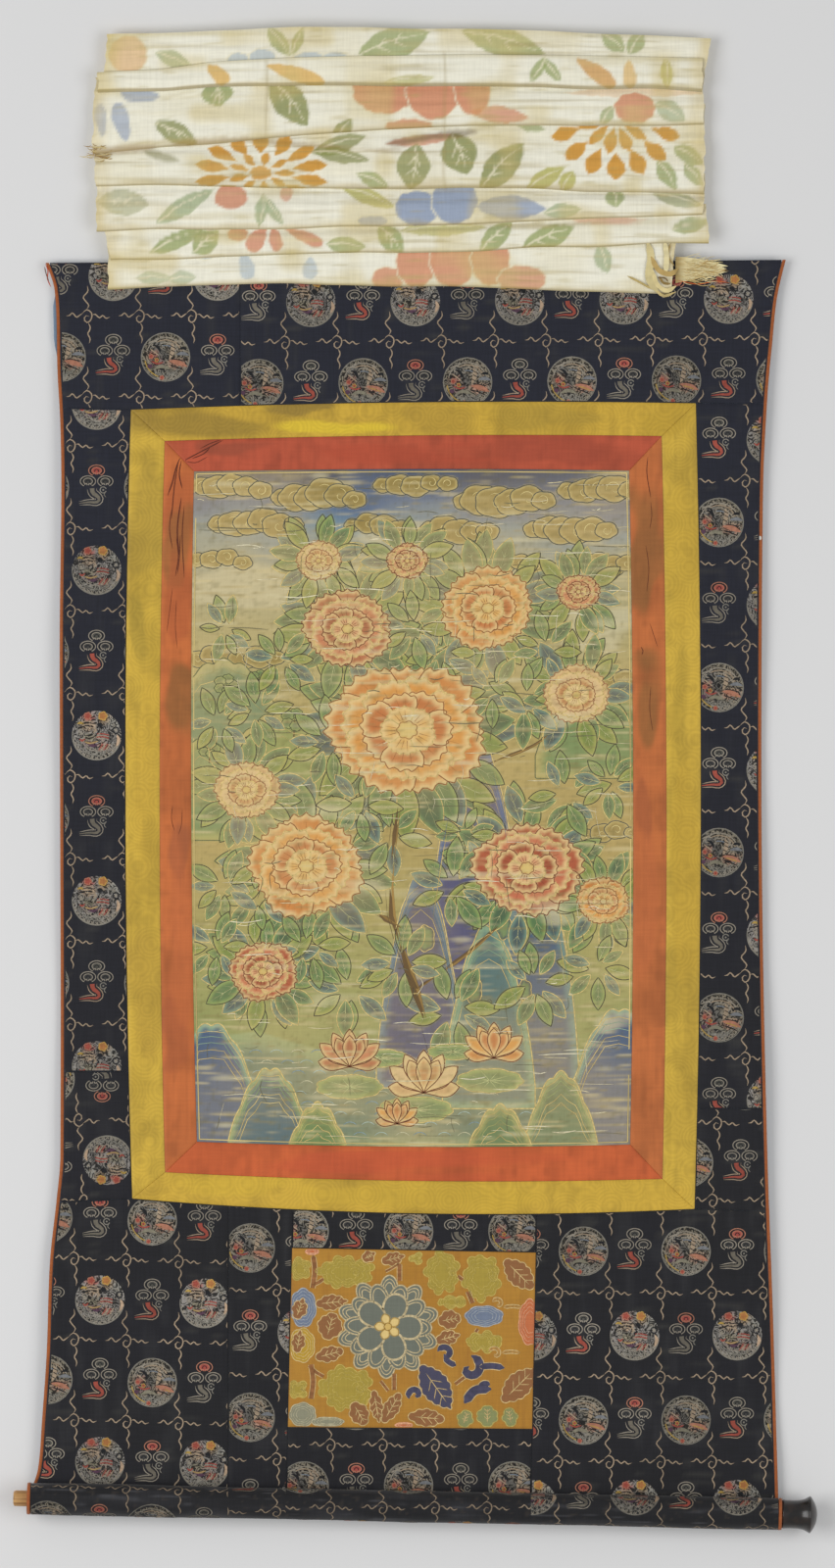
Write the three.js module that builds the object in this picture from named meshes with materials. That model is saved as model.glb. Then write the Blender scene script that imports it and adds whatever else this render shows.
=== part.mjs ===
// Thangka scroll painting, hanging by its top edge: a painted cloth in red and yellow silk
// frames, a pieced brocade mount with a door panel, a folded silk veil above, and a foot
// rolled up on a wooden dowel with one turned knob.
// Millimetres, +Z up, the face towards -Y, origin at the middle of the brocade's top edge.
import * as THREE from 'three';

// Cloth thicknesses and the gaps between sewn pieces
const FACE_THICK = 1.2;
const LINING_THICK = 1.0;
const LAYER_GAP = 0.55;
const SEAM_INSET = 0.22;
const BINDING_WIDTH = 3.2;
const BINDING_THICK = 1.6;
const BINDING_GAP = 0.6;

// Longest facet of the flat cloth, and the finer step along the bound edges
const CELL = 54;
const BINDING_STEP = 22;

// Foot roller: its axis runs from the left end of the roll to the right end
const ROLL_RADIUS = 15.5;
const ROLL_BORE = 8.0;
const ROLL_LEFT = { x: -376, z: -1198 };
const ROLL_RIGHT = { x: 354.5, z: -1213.2 };
const ROLL_FORWARD = 13.5;
const ROLL_BINDING = 3.2;
const DOWEL_RADIUS = 7.7;
const DOWEL_STICKS_OUT = 13.3;
const KNOB_LENGTH = 34;
const KNOB_SOCKET = 20;
const PART_GAP = 0.3;
const ROUND_SIDES = 32;

// Folded veil: cloth thickness, and the step from one layer to the next
const VEIL_THICK = 1.2;
const VEIL_STEP = 1.7;
const VEIL_COLUMNS = 9;
const TURN_STEPS = 3;
const TURN_CLEAR = 2.7;

// Outer side edges of the mount, from the top to the roller
const LEFT_EDGE = [
  { z: 4, x: -360.5 },
  { z: -27, x: -350.1 },
  { z: -107, x: -347.2 },
  { z: -157, x: -344.4 },
  { z: -220, x: -343.4 },
  { z: -364, x: -344.9 },
  { z: -867, x: -344.4 },
  { z: -910, x: -348.1 },
  { z: -969, x: -354.4 },
  { z: -1057, x: -357.5 },
  { z: -1122, x: -362.0 },
  { z: -1210, x: -368.5 },
];
const RIGHT_EDGE = [
  { z: 4, x: 359.4 },
  { z: -34, x: 350.6 },
  { z: -79, x: 345.8 },
  { z: -131, x: 341.1 },
  { z: -220, x: 337.0 },
  { z: -506, x: 335.4 },
  { z: -696, x: 337.3 },
  { z: -867, x: 341.1 },
  { z: -1029, x: 346.8 },
  { z: -1210, x: 352.0 },
];

// Top edge, and the outer ends of the seams that carry on from the yellow frame's top and bottom
const TOP_EDGE = [
  { x: -360, z: -1.0 },
  { x: -120, z: 0.4 },
  { x: 150, z: 0.2 },
  { x: 360, z: 1.9 },
];
const HEAD_SEAM_ENDS = { left: { x: -350, z: -141.6 }, right: { x: 345, z: -137.8 } };
const FOOT_SEAM_ENDS = { left: { x: -352, z: -912.0 }, right: { x: 346, z: -920.6 } };

// Upright seams: the pieced top, and the columns of the foot
const TOP_SEAM_X = -170;
const FOOT_SEAM_X = -181.5;

// Level seams of the pieced sides
const SIDE_SEAM_LEFT = -785;
const SIDE_SEAM_RIGHT = -821;

// Edges of the door, and of the columns above and below it
const DOOR_LEFT = [
  { z: -915, x: -118.8 },
  { z: -956, x: -119.7 },
  { z: -1130, x: -123.8 },
  { z: -1205, x: -125.6 },
];
const DOOR_RIGHT = [
  { z: -915, x: 117.4 },
  { z: -960, x: 116.6 },
  { z: -1131, x: 113.1 },
  { z: -1205, x: 111.6 },
];
const DOOR_TOP = [
  { x: -120, z: -956.2 },
  { x: 117, z: -960.5 },
];
const DOOR_BOTTOM = [
  { x: -124, z: -1129.6 },
  { x: 113, z: -1131.5 },
];

// Nested frames: each side is given at its two ends and at its bowed middle
const YELLOW_OUTER = {
  left: { start: -276.0, mid: -281.2, end: -274.6 },
  right: { start: 271.7, mid: 276.5, end: 270.5 },
  top: { start: -143.5, mid: -136.3, end: -137.3 },
  bottom: { start: -908.2, mid: -922.5, end: -918.3 },
};
const RED_OUTER = {
  left: { start: -243.2, mid: -248.0, end: -242.7 },
  right: { start: 238.5, mid: 243.2, end: 239.4 },
  top: { start: -173.9, mid: -168.5, end: -169.1 },
  bottom: { start: -882.6, mid: -891.0, end: -889.2 },
};
const PAINTING_OUTER = {
  left: { start: -214.7, mid: -217.5, end: -211.9 },
  right: { start: 207.1, mid: 211.0, end: 208.1 },
  top: { start: -203.3, mid: -201.0, end: -202.4 },
  bottom: { start: -853.1, mid: -858.0, end: -856.0 },
};

// Veil folds from its top edge to the seam on the brocade: height at the left, middle and
// right, side edges, and the layers in front of the wall on the way in and on the way out
const VEIL_FOLDS = [
  { left: 220, mid: 227, right: 216, xLeft: -299, xRight: 287, into: 2, from: 2 },
  { left: 174, mid: 178, right: 177, xLeft: -302, xRight: 279, into: 2, from: 3 },
  { left: 182, mid: 199, right: 196, xLeft: -308, xRight: 278, into: 3, from: 4 },
  { left: 167, mid: 172, right: 167, xLeft: -308, xRight: 278, into: 4, from: 1 },
  { left: 178, mid: 190, right: 186, xLeft: -310, xRight: 279, into: 1, from: 0 },
  { left: 104, mid: 128, right: 133, xLeft: -314, xRight: 279, into: 2, from: 1 },
  { left: 121, mid: 146, right: 151, xLeft: -312, xRight: 280, into: 1, from: 0 },
  { left: 74, mid: 72, right: 67, xLeft: -310, xRight: 280, into: 3, from: 2 },
  { left: 90, mid: 90, right: 85, xLeft: -309, xRight: 281, into: 2, from: 1 },
  { left: 30, mid: 35, right: 47, xLeft: -309, xRight: 279, into: 4, from: 3 },
  { left: 48, mid: 53, right: 56, xLeft: -304, xRight: 282, into: 3, from: 2 },
  { left: 1, mid: 10, right: 19, xLeft: -296, xRight: 284, into: 4, from: 3 },
  { left: 16, mid: 25, right: 29, xLeft: -298, xRight: 254, into: 3, from: 2 },
  { left: -25, mid: -22, right: -31, xLeft: -298, xRight: 247, into: 2, from: 1 },
  { left: -8, mid: -6, right: -11, xLeft: -297, xRight: 247, into: 1, from: 1 },
];

// Torn end of the veil, lying on the brocade at the right
const FLAP = { left: 252, right: 302, top: 4.5, bottom: -21, forward: 1.6 };

// Wound radius of the roll along its length, as a share of the nominal radius
const ROLL_SWELL = [
  { share: 0.0, swell: 1.0 },
  { share: 0.14, swell: 1.02 },
  { share: 0.31, swell: 0.985 },
  { share: 0.52, swell: 1.0 },
  { share: 0.7, swell: 0.99 },
  { share: 0.86, swell: 1.015 },
  { share: 1.0, swell: 1.0 },
];

// Turned knob: radius along its length, from the face beside the roll to the domed end
const KNOB_PROFILE = [
  { along: 0.0, radius: 13.5 },
  { along: 1.2, radius: 14.0 },
  { along: 8.0, radius: 13.7 },
  { along: 15.0, radius: 13.9 },
  { along: 20.0, radius: 14.7 },
  { along: 23.5, radius: 16.2 },
  { along: 26.0, radius: 17.7 },
  { along: 27.2, radius: 17.9 },
  { along: 28.6, radius: 15.9 },
  { along: 30.8, radius: 12.4 },
  { along: 32.8, radius: 7.4 },
];

const BROCADE = { color: 0x242630, roughness: 0.75 };
const YELLOW_SILK = { color: 0xc9a536, roughness: 0.6 };
const RED_SILK = { color: 0xbb4c30, roughness: 0.6 };
const PAINTED_CLOTH = { color: 0x7d8f72, roughness: 0.8 };
const DOOR_SILK = { color: 0xb9822f, roughness: 0.65 };
const BINDING_SILK = { color: 0xb0582f, roughness: 0.7 };
const LINING_COTTON = { color: 0x6f88a5, roughness: 0.85 };
const VEIL_SILK = { color: 0xe6dcb5, roughness: 0.7 };
const DOWEL_WOOD = { color: 0xc9a77a, roughness: 0.6 };
const KNOB_LACQUER = { color: 0x2b1d18, roughness: 0.35 };

const thangka = new THREE.Group();
const { lerp, smoothstep } = THREE.MathUtils;

function addMesh(parent, name, geometry, finish) {
  const mesh = new THREE.Mesh(geometry, new THREE.MeshStandardMaterial({ ...finish, metalness: 0 }));
  mesh.name = name;
  parent.add(mesh);
}

// A smooth line through the rows of a table, read across at any place along it
function edge(rows, along, across) {
  const points = [...rows].sort((a, b) => a[along] - b[along]);
  const slope = (i) => {
    const before = points[Math.max(i - 1, 0)];
    const after = points[Math.min(i + 1, points.length - 1)];
    return (after[across] - before[across]) / (after[along] - before[along]);
  };
  return (at) => {
    let i = 0;
    while (i < points.length - 2 && at > points[i + 1][along]) {
      i += 1;
    }
    const span = points[i + 1][along] - points[i][along];
    const t = THREE.MathUtils.clamp((at - points[i][along]) / span, 0, 1);
    const rise = points[i + 1][across] - points[i][across];
    const ease = t * t * (3 - 2 * t);
    const lean = t * (1 - t) * ((1 - t) * slope(i) - t * slope(i + 1)) * span;
    return points[i][across] + rise * ease + lean;
  };
}

// The four sides of a nested frame, each bowed through its middle
function frameSides(outer) {
  const bowed = (side, from, to) => (at) => {
    const t = (at - from) / (to - from);
    const bow = side.mid - (side.start + side.end) / 2;
    return lerp(side.start, side.end, t) + 4 * t * (1 - t) * bow;
  };
  const { left, right, top, bottom } = outer;
  return {
    left: bowed(left, top.start, bottom.start),
    right: bowed(right, top.end, bottom.end),
    top: bowed(top, left.start, right.start),
    bottom: bowed(bottom, left.end, right.end),
    topLeft: { x: left.start, z: top.start },
    topRight: { x: right.start, z: top.end },
    bottomLeft: { x: left.end, z: bottom.start },
    bottomRight: { x: right.end, z: bottom.end },
  };
}

// Mitred seam between the same corner of two frames
function mitre(outer, inner, corner) {
  const a = outer[corner];
  const b = inner[corner];
  return {
    xAt: (z) => lerp(a.x, b.x, (z - a.z) / (b.z - a.z)),
    zAt: (x) => lerp(a.z, b.z, (x - a.x) / (b.x - a.x)),
  };
}

const leftEdge = edge(LEFT_EDGE, 'z', 'x');
const rightEdge = edge(RIGHT_EDGE, 'z', 'x');
const topEdge = edge(TOP_EDGE, 'x', 'z');
const doorLeft = edge(DOOR_LEFT, 'z', 'x');
const doorRight = edge(DOOR_RIGHT, 'z', 'x');
const doorTop = edge(DOOR_TOP, 'x', 'z');
const doorBottom = edge(DOOR_BOTTOM, 'x', 'z');
const yellow = frameSides(YELLOW_OUTER);
const red = frameSides(RED_OUTER);
const painting = frameSides(PAINTING_OUTER);

// A seam along one side of the yellow frame, carried on from its corners to the mount's sides
function seamAcross(side, leftCorner, rightCorner, ends) {
  return (x) => {
    if (x < leftCorner.x) {
      return lerp(ends.left.z, leftCorner.z, (x - ends.left.x) / (leftCorner.x - ends.left.x));
    }
    if (x > rightCorner.x) {
      return lerp(rightCorner.z, ends.right.z, (x - rightCorner.x) / (ends.right.x - rightCorner.x));
    }
    return side(x);
  };
}
const headSeam = seamAcross(yellow.top, yellow.topLeft, yellow.topRight, HEAD_SEAM_ENDS);
const footSeam = seamAcross(yellow.bottom, yellow.bottomLeft, yellow.bottomRight, FOOT_SEAM_ENDS);

const rollSlope = (ROLL_RIGHT.z - ROLL_LEFT.z) / (ROLL_RIGHT.x - ROLL_LEFT.x);
const rollAxisZ = (x) => ROLL_LEFT.z + (x - ROLL_LEFT.x) * rollSlope;

// Lower edge of the hanging cloth, where its face meets the swollen roll
const mostSwell = Math.max(...ROLL_SWELL.map(({ swell }) => swell));
const clearRadius = ROLL_RADIUS * mostSwell + PART_GAP;
const rollRise = Math.sqrt(clearRadius ** 2 - (ROLL_FORWARD - FACE_THICK / 2) ** 2);
const rollLine = (x) => rollAxisZ(x) + rollRise;

// How far the hanging cloth waves off its plane: broad waves, ripples across, and sides that curl
// forward and back. A wave's pitch is its length over a full turn, and the roller holds the foot calm
const BROAD = { depth: 1.8, pitchX: 327, pitchZ: 565, startX: 0.6, startZ: 0.4 };
const RIPPLE = { depth: 0.9, pitchX: 817, pitchZ: 214 };
const CURL = { depth: 2.4, from: 270, to: 360, pitchX: 1257, pitchZ: 754 };
const CALM = { below: -1190, above: -1090 };
function wave(x, z) {
  const turn = 2 * Math.PI;
  const across = Math.sin((turn * x) / BROAD.pitchX + BROAD.startX);
  const broad = BROAD.depth * across * Math.cos((turn * z) / BROAD.pitchZ + BROAD.startZ);
  const ripple = RIPPLE.depth * Math.sin(turn * (z / RIPPLE.pitchZ + x / RIPPLE.pitchX));
  const reach = CURL.depth * smoothstep(Math.abs(x), CURL.from, CURL.to);
  const curl = reach * Math.sin(turn * (z / CURL.pitchZ + x / CURL.pitchX));
  return (broad + ripple - curl) * smoothstep(z, CALM.below, CALM.above);
}

// A closed slab between a front grid and a back grid of points, rows running down the cloth
function slab(front, back) {
  const rows = front.length;
  const columns = front[0].length;
  const position = [...front.flat(), ...back.flat()].flatMap((p) => [p.x, p.y, p.z]);
  const index = [];
  const f = (i, j) => i * columns + j;
  const b = (i, j) => rows * columns + f(i, j);
  const quad = (p, q, r, s) => index.push(p, q, r, p, r, s);
  for (let i = 0; i < rows - 1; i += 1) {
    for (let j = 0; j < columns - 1; j += 1) {
      quad(f(i, j), f(i + 1, j), f(i + 1, j + 1), f(i, j + 1));
      quad(b(i, j), b(i, j + 1), b(i + 1, j + 1), b(i + 1, j));
    }
    quad(f(i, 0), b(i, 0), b(i + 1, 0), f(i + 1, 0));
    quad(f(i, columns - 1), f(i + 1, columns - 1), b(i + 1, columns - 1), b(i, columns - 1));
  }
  for (let j = 0; j < columns - 1; j += 1) {
    quad(f(0, j), f(0, j + 1), b(0, j + 1), b(0, j));
    quad(f(rows - 1, j), b(rows - 1, j), b(rows - 1, j + 1), f(rows - 1, j + 1));
  }
  const geometry = new THREE.BufferGeometry();
  geometry.setAttribute('position', new THREE.Float32BufferAttribute(position, 3));
  geometry.setIndex(index);
  return geometry;
}

// A sheet that fills the space between four edges, a fixed way behind or before the face cloth
const EDGE_PASSES = 12;
function sheet(edges, { inset = SEAM_INSET, thick = FACE_THICK, behind = 0, columns, rows }) {
  const { left, right, top, bottom } = edges;
  const grid = (offset) => Array.from({ length: rows + 1 }, (_, i) => (
    Array.from({ length: columns + 1 }, (__, j) => {
      let z = (top(0) + bottom(0)) / 2;
      let x = 0;
      for (let pass = 0; pass < EDGE_PASSES; pass += 1) {
        x = lerp(left(z) + inset, right(z) - inset, j / columns);
        z = lerp(top(x) - inset, bottom(x) + inset, i / rows);
      }
      return new THREE.Vector3(x, wave(x, z) + behind + offset, z);
    })
  ));
  return slab(grid(-thick / 2), grid(thick / 2));
}

const PAINTING_SIZE = { width: 424, height: 654 };
const BORDER_SIZE = { width: 540, height: 760 };
const cells = (length) => Math.max(2, Math.ceil(length / CELL));
const steady = (place) => () => place;

// Brocade stops short of the bound sides by the binding and its gap
const boundLeft = (z) => leftEdge(z) + BINDING_WIDTH + BINDING_GAP;
const boundRight = (z) => rightEdge(z) - BINDING_WIDTH - BINDING_GAP;

// Pieced brocade and the door panel: the four edges of each cut, and its grid
const BROCADE_CUTS = [
  { name: 'brocade_top_left', left: boundLeft, right: steady(TOP_SEAM_X), top: topEdge, bottom: headSeam,
    columns: 5, rows: 10 },
  { name: 'brocade_top', left: steady(TOP_SEAM_X), right: boundRight, top: topEdge, bottom: headSeam,
    columns: 13, rows: 10 },
  { name: 'brocade_side_left', left: boundLeft, right: yellow.left, top: headSeam,
    bottom: steady(SIDE_SEAM_LEFT), columns: 2, rows: 22 },
  { name: 'brocade_side_left_lower', left: boundLeft, right: yellow.left, top: steady(SIDE_SEAM_LEFT),
    bottom: footSeam, columns: 2, rows: 4 },
  { name: 'brocade_side_right', left: yellow.right, right: boundRight, top: headSeam,
    bottom: steady(SIDE_SEAM_RIGHT), columns: 2, rows: 23 },
  { name: 'brocade_side_right_lower', left: yellow.right, right: boundRight, top: steady(SIDE_SEAM_RIGHT),
    bottom: footSeam, columns: 2, rows: 3 },
  { name: 'brocade_bottom_left', left: boundLeft, right: steady(FOOT_SEAM_X), top: footSeam, bottom: rollLine,
    columns: 5, rows: 12 },
  { name: 'brocade_bottom_left_inner', left: steady(FOOT_SEAM_X), right: doorLeft, top: footSeam,
    bottom: rollLine, columns: 2, rows: 8 },
  { name: 'brocade_above_door', left: doorLeft, right: doorRight, top: footSeam, bottom: doorTop,
    columns: 6, rows: 2 },
  { name: 'brocade_below_door', left: doorLeft, right: doorRight, top: doorBottom, bottom: rollLine,
    columns: 6, rows: 3 },
  { name: 'brocade_bottom_right', left: doorRight, right: boundRight, top: footSeam, bottom: rollLine,
    columns: 6, rows: 12 },
];
for (const { name, columns, rows, ...edges } of BROCADE_CUTS) {
  addMesh(thangka, name, sheet(edges, { columns, rows }), BROCADE);
}
const doorEdges = { left: doorLeft, right: doorRight, top: doorTop, bottom: doorBottom };
addMesh(thangka, 'door_panel', sheet(doorEdges, { columns: 6, rows: 5 }), DOOR_SILK);

// Painted cloth and its two mitred silk frames
const paintingGrid = { columns: cells(PAINTING_SIZE.width), rows: cells(PAINTING_SIZE.height) };
addMesh(thangka, 'painting', sheet(painting, paintingGrid), PAINTED_CLOTH);

function addSilkFrame(name, outer, inner, finish) {
  const corner = (at) => mitre(outer, inner, at);
  const strips = {
    top: { left: corner('topLeft').xAt, right: corner('topRight').xAt, top: outer.top, bottom: inner.top },
    bottom: { left: corner('bottomLeft').xAt, right: corner('bottomRight').xAt, top: inner.bottom,
      bottom: outer.bottom },
    left: { left: outer.left, right: inner.left, top: corner('topLeft').zAt, bottom: corner('bottomLeft').zAt },
    right: { left: inner.right, right: outer.right, top: corner('topRight').zAt,
      bottom: corner('bottomRight').zAt },
  };
  for (const [side, edges] of Object.entries(strips)) {
    const lies = side === 'top' || side === 'bottom';
    const long = { columns: cells(BORDER_SIZE.width), rows: 1 };
    const tall = { columns: 1, rows: cells(BORDER_SIZE.height) };
    const grid = lies ? long : tall;
    addMesh(thangka, `${name}_${side}`, sheet(edges, grid), finish);
  }
}
addSilkFrame('yellow_border', yellow, red, YELLOW_SILK);
addSilkFrame('red_border', red, painting, RED_SILK);

// Side bindings, and the lining behind, which peeps out beyond the left binding near the top
const bindingRows = Math.ceil(-rollLine(0) / BINDING_STEP);
const bindings = {
  left: { left: leftEdge, right: (z) => leftEdge(z) + BINDING_WIDTH },
  right: { left: (z) => rightEdge(z) - BINDING_WIDTH, right: rightEdge },
};
for (const [side, edges] of Object.entries(bindings)) {
  const strip = { ...edges, top: topEdge, bottom: rollLine };
  const grid = { inset: 0, thick: BINDING_THICK, columns: 1, rows: bindingRows };
  addMesh(thangka, `edge_binding_${side}`, sheet(strip, grid), BINDING_SILK);
}
const LINING_HIDDEN = 1.5;
const LINING_PEEP = 4.8;
const PEEP = { lowEnd: -120, lowFull: -60, highFull: -26, highEnd: -6 };
const peep = (z) => {
  const risen = smoothstep(z, PEEP.lowEnd, PEEP.lowFull);
  const gone = smoothstep(z, PEEP.highFull, PEEP.highEnd);
  return LINING_PEEP * risen * (1 - gone);
};
const liningEdges = {
  left: (z) => leftEdge(z) + LINING_HIDDEN - peep(z),
  right: (z) => rightEdge(z) - LINING_HIDDEN,
  top: (x) => topEdge(x) - LINING_HIDDEN,
  bottom: rollLine,
};
const liningBehind = BINDING_THICK / 2 + LAYER_GAP + LINING_THICK / 2;
const liningGrid = { inset: 0, thick: LINING_THICK, behind: liningBehind, columns: 14, rows: 32 };
addMesh(thangka, 'back_lining', sheet(liningEdges, liningGrid), LINING_COTTON);

// Veil: the middle line of its section at one column, with a round turn at every fold
function veilSection(s) {
  const across = (fold) => (s < 0.5 ? lerp(fold.left, fold.mid, 2 * s) : lerp(fold.mid, fold.right, 2 * s - 1));
  const points = [];
  VEIL_FOLDS.forEach((fold, k) => {
    const z = across(fold);
    const x = lerp(fold.xLeft, fold.xRight, s);
    const next = VEIL_FOLDS[k + 1];
    if (k > 0 && next) {
      const radius = (Math.abs(fold.from - fold.into) * VEIL_STEP) / 2;
      const sign = Math.sign(z - across(VEIL_FOLDS[k - 1]));
      for (let step = 0; step <= TURN_STEPS; step += 1) {
        const angle = (Math.PI * step) / TURN_STEPS;
        const share = (1 - Math.cos(angle)) / 2;
        points.push({ x, layer: lerp(fold.into, fold.from, share), z: z + sign * radius * Math.sin(angle) });
      }
    } else {
      points.push({ x, layer: fold.from, z });
    }
    // a band that comes forward leaves its hidden layer just below the fold above it
    if (next && next.into !== fold.from) {
      const above = across(VEIL_FOLDS[k - 1]);
      const below = across(VEIL_FOLDS[k + 2]);
      const bandX = (share) => lerp(x, lerp(next.xLeft, next.xRight, s), share);
      points.push({ x: bandX(0.4), layer: fold.from, z: above - TURN_CLEAR });
      points.push({ x: bandX(0.7), layer: next.into, z: below + TURN_CLEAR });
    }
  });
  return points;
}
function veilGeometry() {
  const columns = Array.from({ length: VEIL_COLUMNS + 1 }, (_, j) => veilSection(j / VEIL_COLUMNS));
  const rowCount = columns[0].length;
  const offsetPoint = (column, i, offset) => {
    const before = column[Math.max(i - 1, 0)];
    const after = column[Math.min(i + 1, rowCount - 1)];
    const run = new THREE.Vector2((before.layer - after.layer) * VEIL_STEP, after.z - before.z).normalize();
    const { x, layer, z } = column[i];
    const y = wave(x, Math.min(z, 0)) - layer * VEIL_STEP;
    return new THREE.Vector3(x, y + offset * run.y, z - offset * run.x);
  };
  const grid = (offset) => Array.from({ length: rowCount }, (_, i) => (
    columns.map((column) => offsetPoint(column, i, offset))
  ));
  return slab(grid(VEIL_THICK / 2), grid(-VEIL_THICK / 2));
}
addMesh(thangka, 'veil', veilGeometry(), VEIL_SILK);
const flapEdges = {
  left: steady(FLAP.left),
  right: steady(FLAP.right),
  top: steady(FLAP.top),
  bottom: steady(FLAP.bottom),
};
const flapGrid = { behind: -FLAP.forward, columns: 4, rows: 2 };
addMesh(thangka, 'veil_torn_end', sheet(flapEdges, flapGrid), VEIL_SILK);

// Roller: the wound foot, the wound ends of the bindings, the dowel and the knob, on one tilted axis
const roller = new THREE.Group();
roller.position.set(ROLL_LEFT.x, -ROLL_FORWARD, ROLL_LEFT.z);
roller.rotation.set(0, -Math.atan(rollSlope), -Math.PI / 2);
thangka.add(roller);
const rollLength = Math.hypot(ROLL_RIGHT.x - ROLL_LEFT.x, ROLL_RIGHT.z - ROLL_LEFT.z);

function lathe(profile) {
  const points = profile.map(({ radius, along }) => new THREE.Vector2(radius, along));
  return new THREE.LatheGeometry(points, ROUND_SIDES);
}
function ring(outerRows, bore) {
  const first = outerRows[0].along;
  const last = outerRows[outerRows.length - 1].along;
  const inner = [{ radius: bore, along: last }, { radius: bore, along: first }];
  return lathe([...outerRows, ...inner, outerRows[0]]);
}
const woundStart = ROLL_BINDING + PART_GAP;
const woundLength = rollLength - 2 * woundStart;
const woundRows = ROLL_SWELL.map(({ share, swell }) => (
  { radius: ROLL_RADIUS * swell, along: woundStart + woundLength * share }
));
addMesh(roller, 'brocade_roll', ring(woundRows, ROLL_BORE), BROCADE);
const bindingRings = { left: 0, right: rollLength - ROLL_BINDING };
for (const [side, start] of Object.entries(bindingRings)) {
  const rows = [0, ROLL_BINDING].map((step) => ({ radius: ROLL_RADIUS, along: start + step }));
  addMesh(roller, `roll_binding_${side}`, ring(rows, ROLL_BORE), BINDING_SILK);
}
const knobStart = rollLength + PART_GAP;
const socketEnd = knobStart + KNOB_SOCKET;
const dowelProfile = [
  { radius: 0, along: -DOWEL_STICKS_OUT },
  { radius: DOWEL_RADIUS, along: -DOWEL_STICKS_OUT },
  { radius: DOWEL_RADIUS, along: socketEnd - PART_GAP },
  { radius: 0, along: socketEnd - PART_GAP },
];
addMesh(roller, 'dowel', lathe(dowelProfile), DOWEL_WOOD);
const knobProfile = [
  { radius: 0, along: socketEnd },
  { radius: ROLL_BORE, along: socketEnd },
  { radius: ROLL_BORE, along: knobStart },
  ...KNOB_PROFILE.map(({ along, radius }) => ({ radius, along: knobStart + along })),
  { radius: 0, along: knobStart + KNOB_LENGTH },
];
addMesh(roller, 'knob', lathe(knobProfile), KNOB_LACQUER);

export default thangka;
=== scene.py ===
# Thangka scroll painting: the looks of its cloth, silk, wood and lacquer.
# Lengths are millimetres in the row frame (+Z up, the face towards -Y) until a mesh is made.
import math

import bmesh
import bpy
import numpy as np
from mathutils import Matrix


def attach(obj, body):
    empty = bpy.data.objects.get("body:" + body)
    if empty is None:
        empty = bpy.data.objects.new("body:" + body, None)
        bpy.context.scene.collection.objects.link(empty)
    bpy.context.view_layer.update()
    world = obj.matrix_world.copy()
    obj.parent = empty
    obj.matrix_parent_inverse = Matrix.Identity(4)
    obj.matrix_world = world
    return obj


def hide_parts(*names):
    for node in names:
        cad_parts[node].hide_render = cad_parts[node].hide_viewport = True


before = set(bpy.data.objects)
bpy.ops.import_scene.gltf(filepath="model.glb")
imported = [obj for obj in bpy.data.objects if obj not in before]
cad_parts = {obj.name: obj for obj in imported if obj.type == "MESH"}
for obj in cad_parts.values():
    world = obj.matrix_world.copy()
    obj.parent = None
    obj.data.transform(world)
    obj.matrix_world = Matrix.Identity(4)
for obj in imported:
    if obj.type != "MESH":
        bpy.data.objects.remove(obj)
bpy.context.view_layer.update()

MM = 0.001

# Photo scale: a place in the photo, as (column, row) in pixels, turns into millimetres
PIXEL = 0.95
MID_COLUMN = 424
TOP_ROW = 267
PHOTO_WIDTH = 852
PHOTO_HEIGHT = 1600

# Cloth: half of the face's thickness, the turned seam edge, and how far the edge dips into the seam
FACE_HALF = 0.6
SEAM_EDGE = 1.5
SEAM_DIP = 0.75
SEAM_INSET = 0.1
EDGE_PASSES = 12
THREAD_LIFT = 0.12
LIFT_STEP = 0.02
BINDING_WIDTH = 3.2
BINDING_GAP = 0.6
BINDING_HALF = 0.8
LINING_BEHIND = 1.85

# Width of a mesh cell on each cloth
SATIN_STEP = 4.0
PAINTING_STEP = 2.0
FRAME_STEP = 2.2
DOOR_STEP = 1.25

# Waves of the hanging cloth: their heights, their lengths across and up, where the side curl starts
# and is full, and between which heights the waves die out at the roller
BROAD_WAVE = 1.8
BROAD_ACROSS = 327
BROAD_UP = 565
RIPPLE = 0.9
RIPPLE_ACROSS = 817
RIPPLE_UP = 214
SIDE_CURL = 2.4
CURL_ACROSS = 1257
CURL_UP = 754
CURL_FROM = 270
CURL_FULL = 360
STILL_BELOW = -1190
WAVES_ABOVE = -1090
CRUMPLES_ABOVE = -1120

# Foot roller
ROLL_RADIUS = 15.5
ROLL_BORE = 8.0
ROLL_LEFT_X = -376.0
ROLL_LEFT_Z = -1198.0
ROLL_RIGHT_X = 354.5
ROLL_RIGHT_Z = -1213.2
ROLL_FORWARD = 13.5
ROLL_BINDING = 3.2
ROLL_RISE = 9.65
DOWEL_RADIUS = 7.7
DOWEL_STICKS_OUT = 13.3
KNOB_SOCKET = 20.0
PART_GAP = 0.3

# Outer edges of the mount: (height, place across)
LEFT_EDGE = [
    (4, -360.5), (-27, -350.1), (-107, -347.2), (-157, -344.4), (-220, -343.4), (-364, -344.9),
    (-867, -344.4), (-910, -348.1), (-969, -354.4), (-1057, -357.5), (-1122, -362.0), (-1170, -366.0),
    (-1192, -373.0),
]
RIGHT_EDGE = [
    (4, 359.4), (-34, 350.6), (-79, 345.8), (-131, 341.1), (-220, 337.0), (-506, 335.4),
    (-696, 337.3), (-867, 341.1), (-1029, 346.8), (-1210, 352.0),
]

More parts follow.
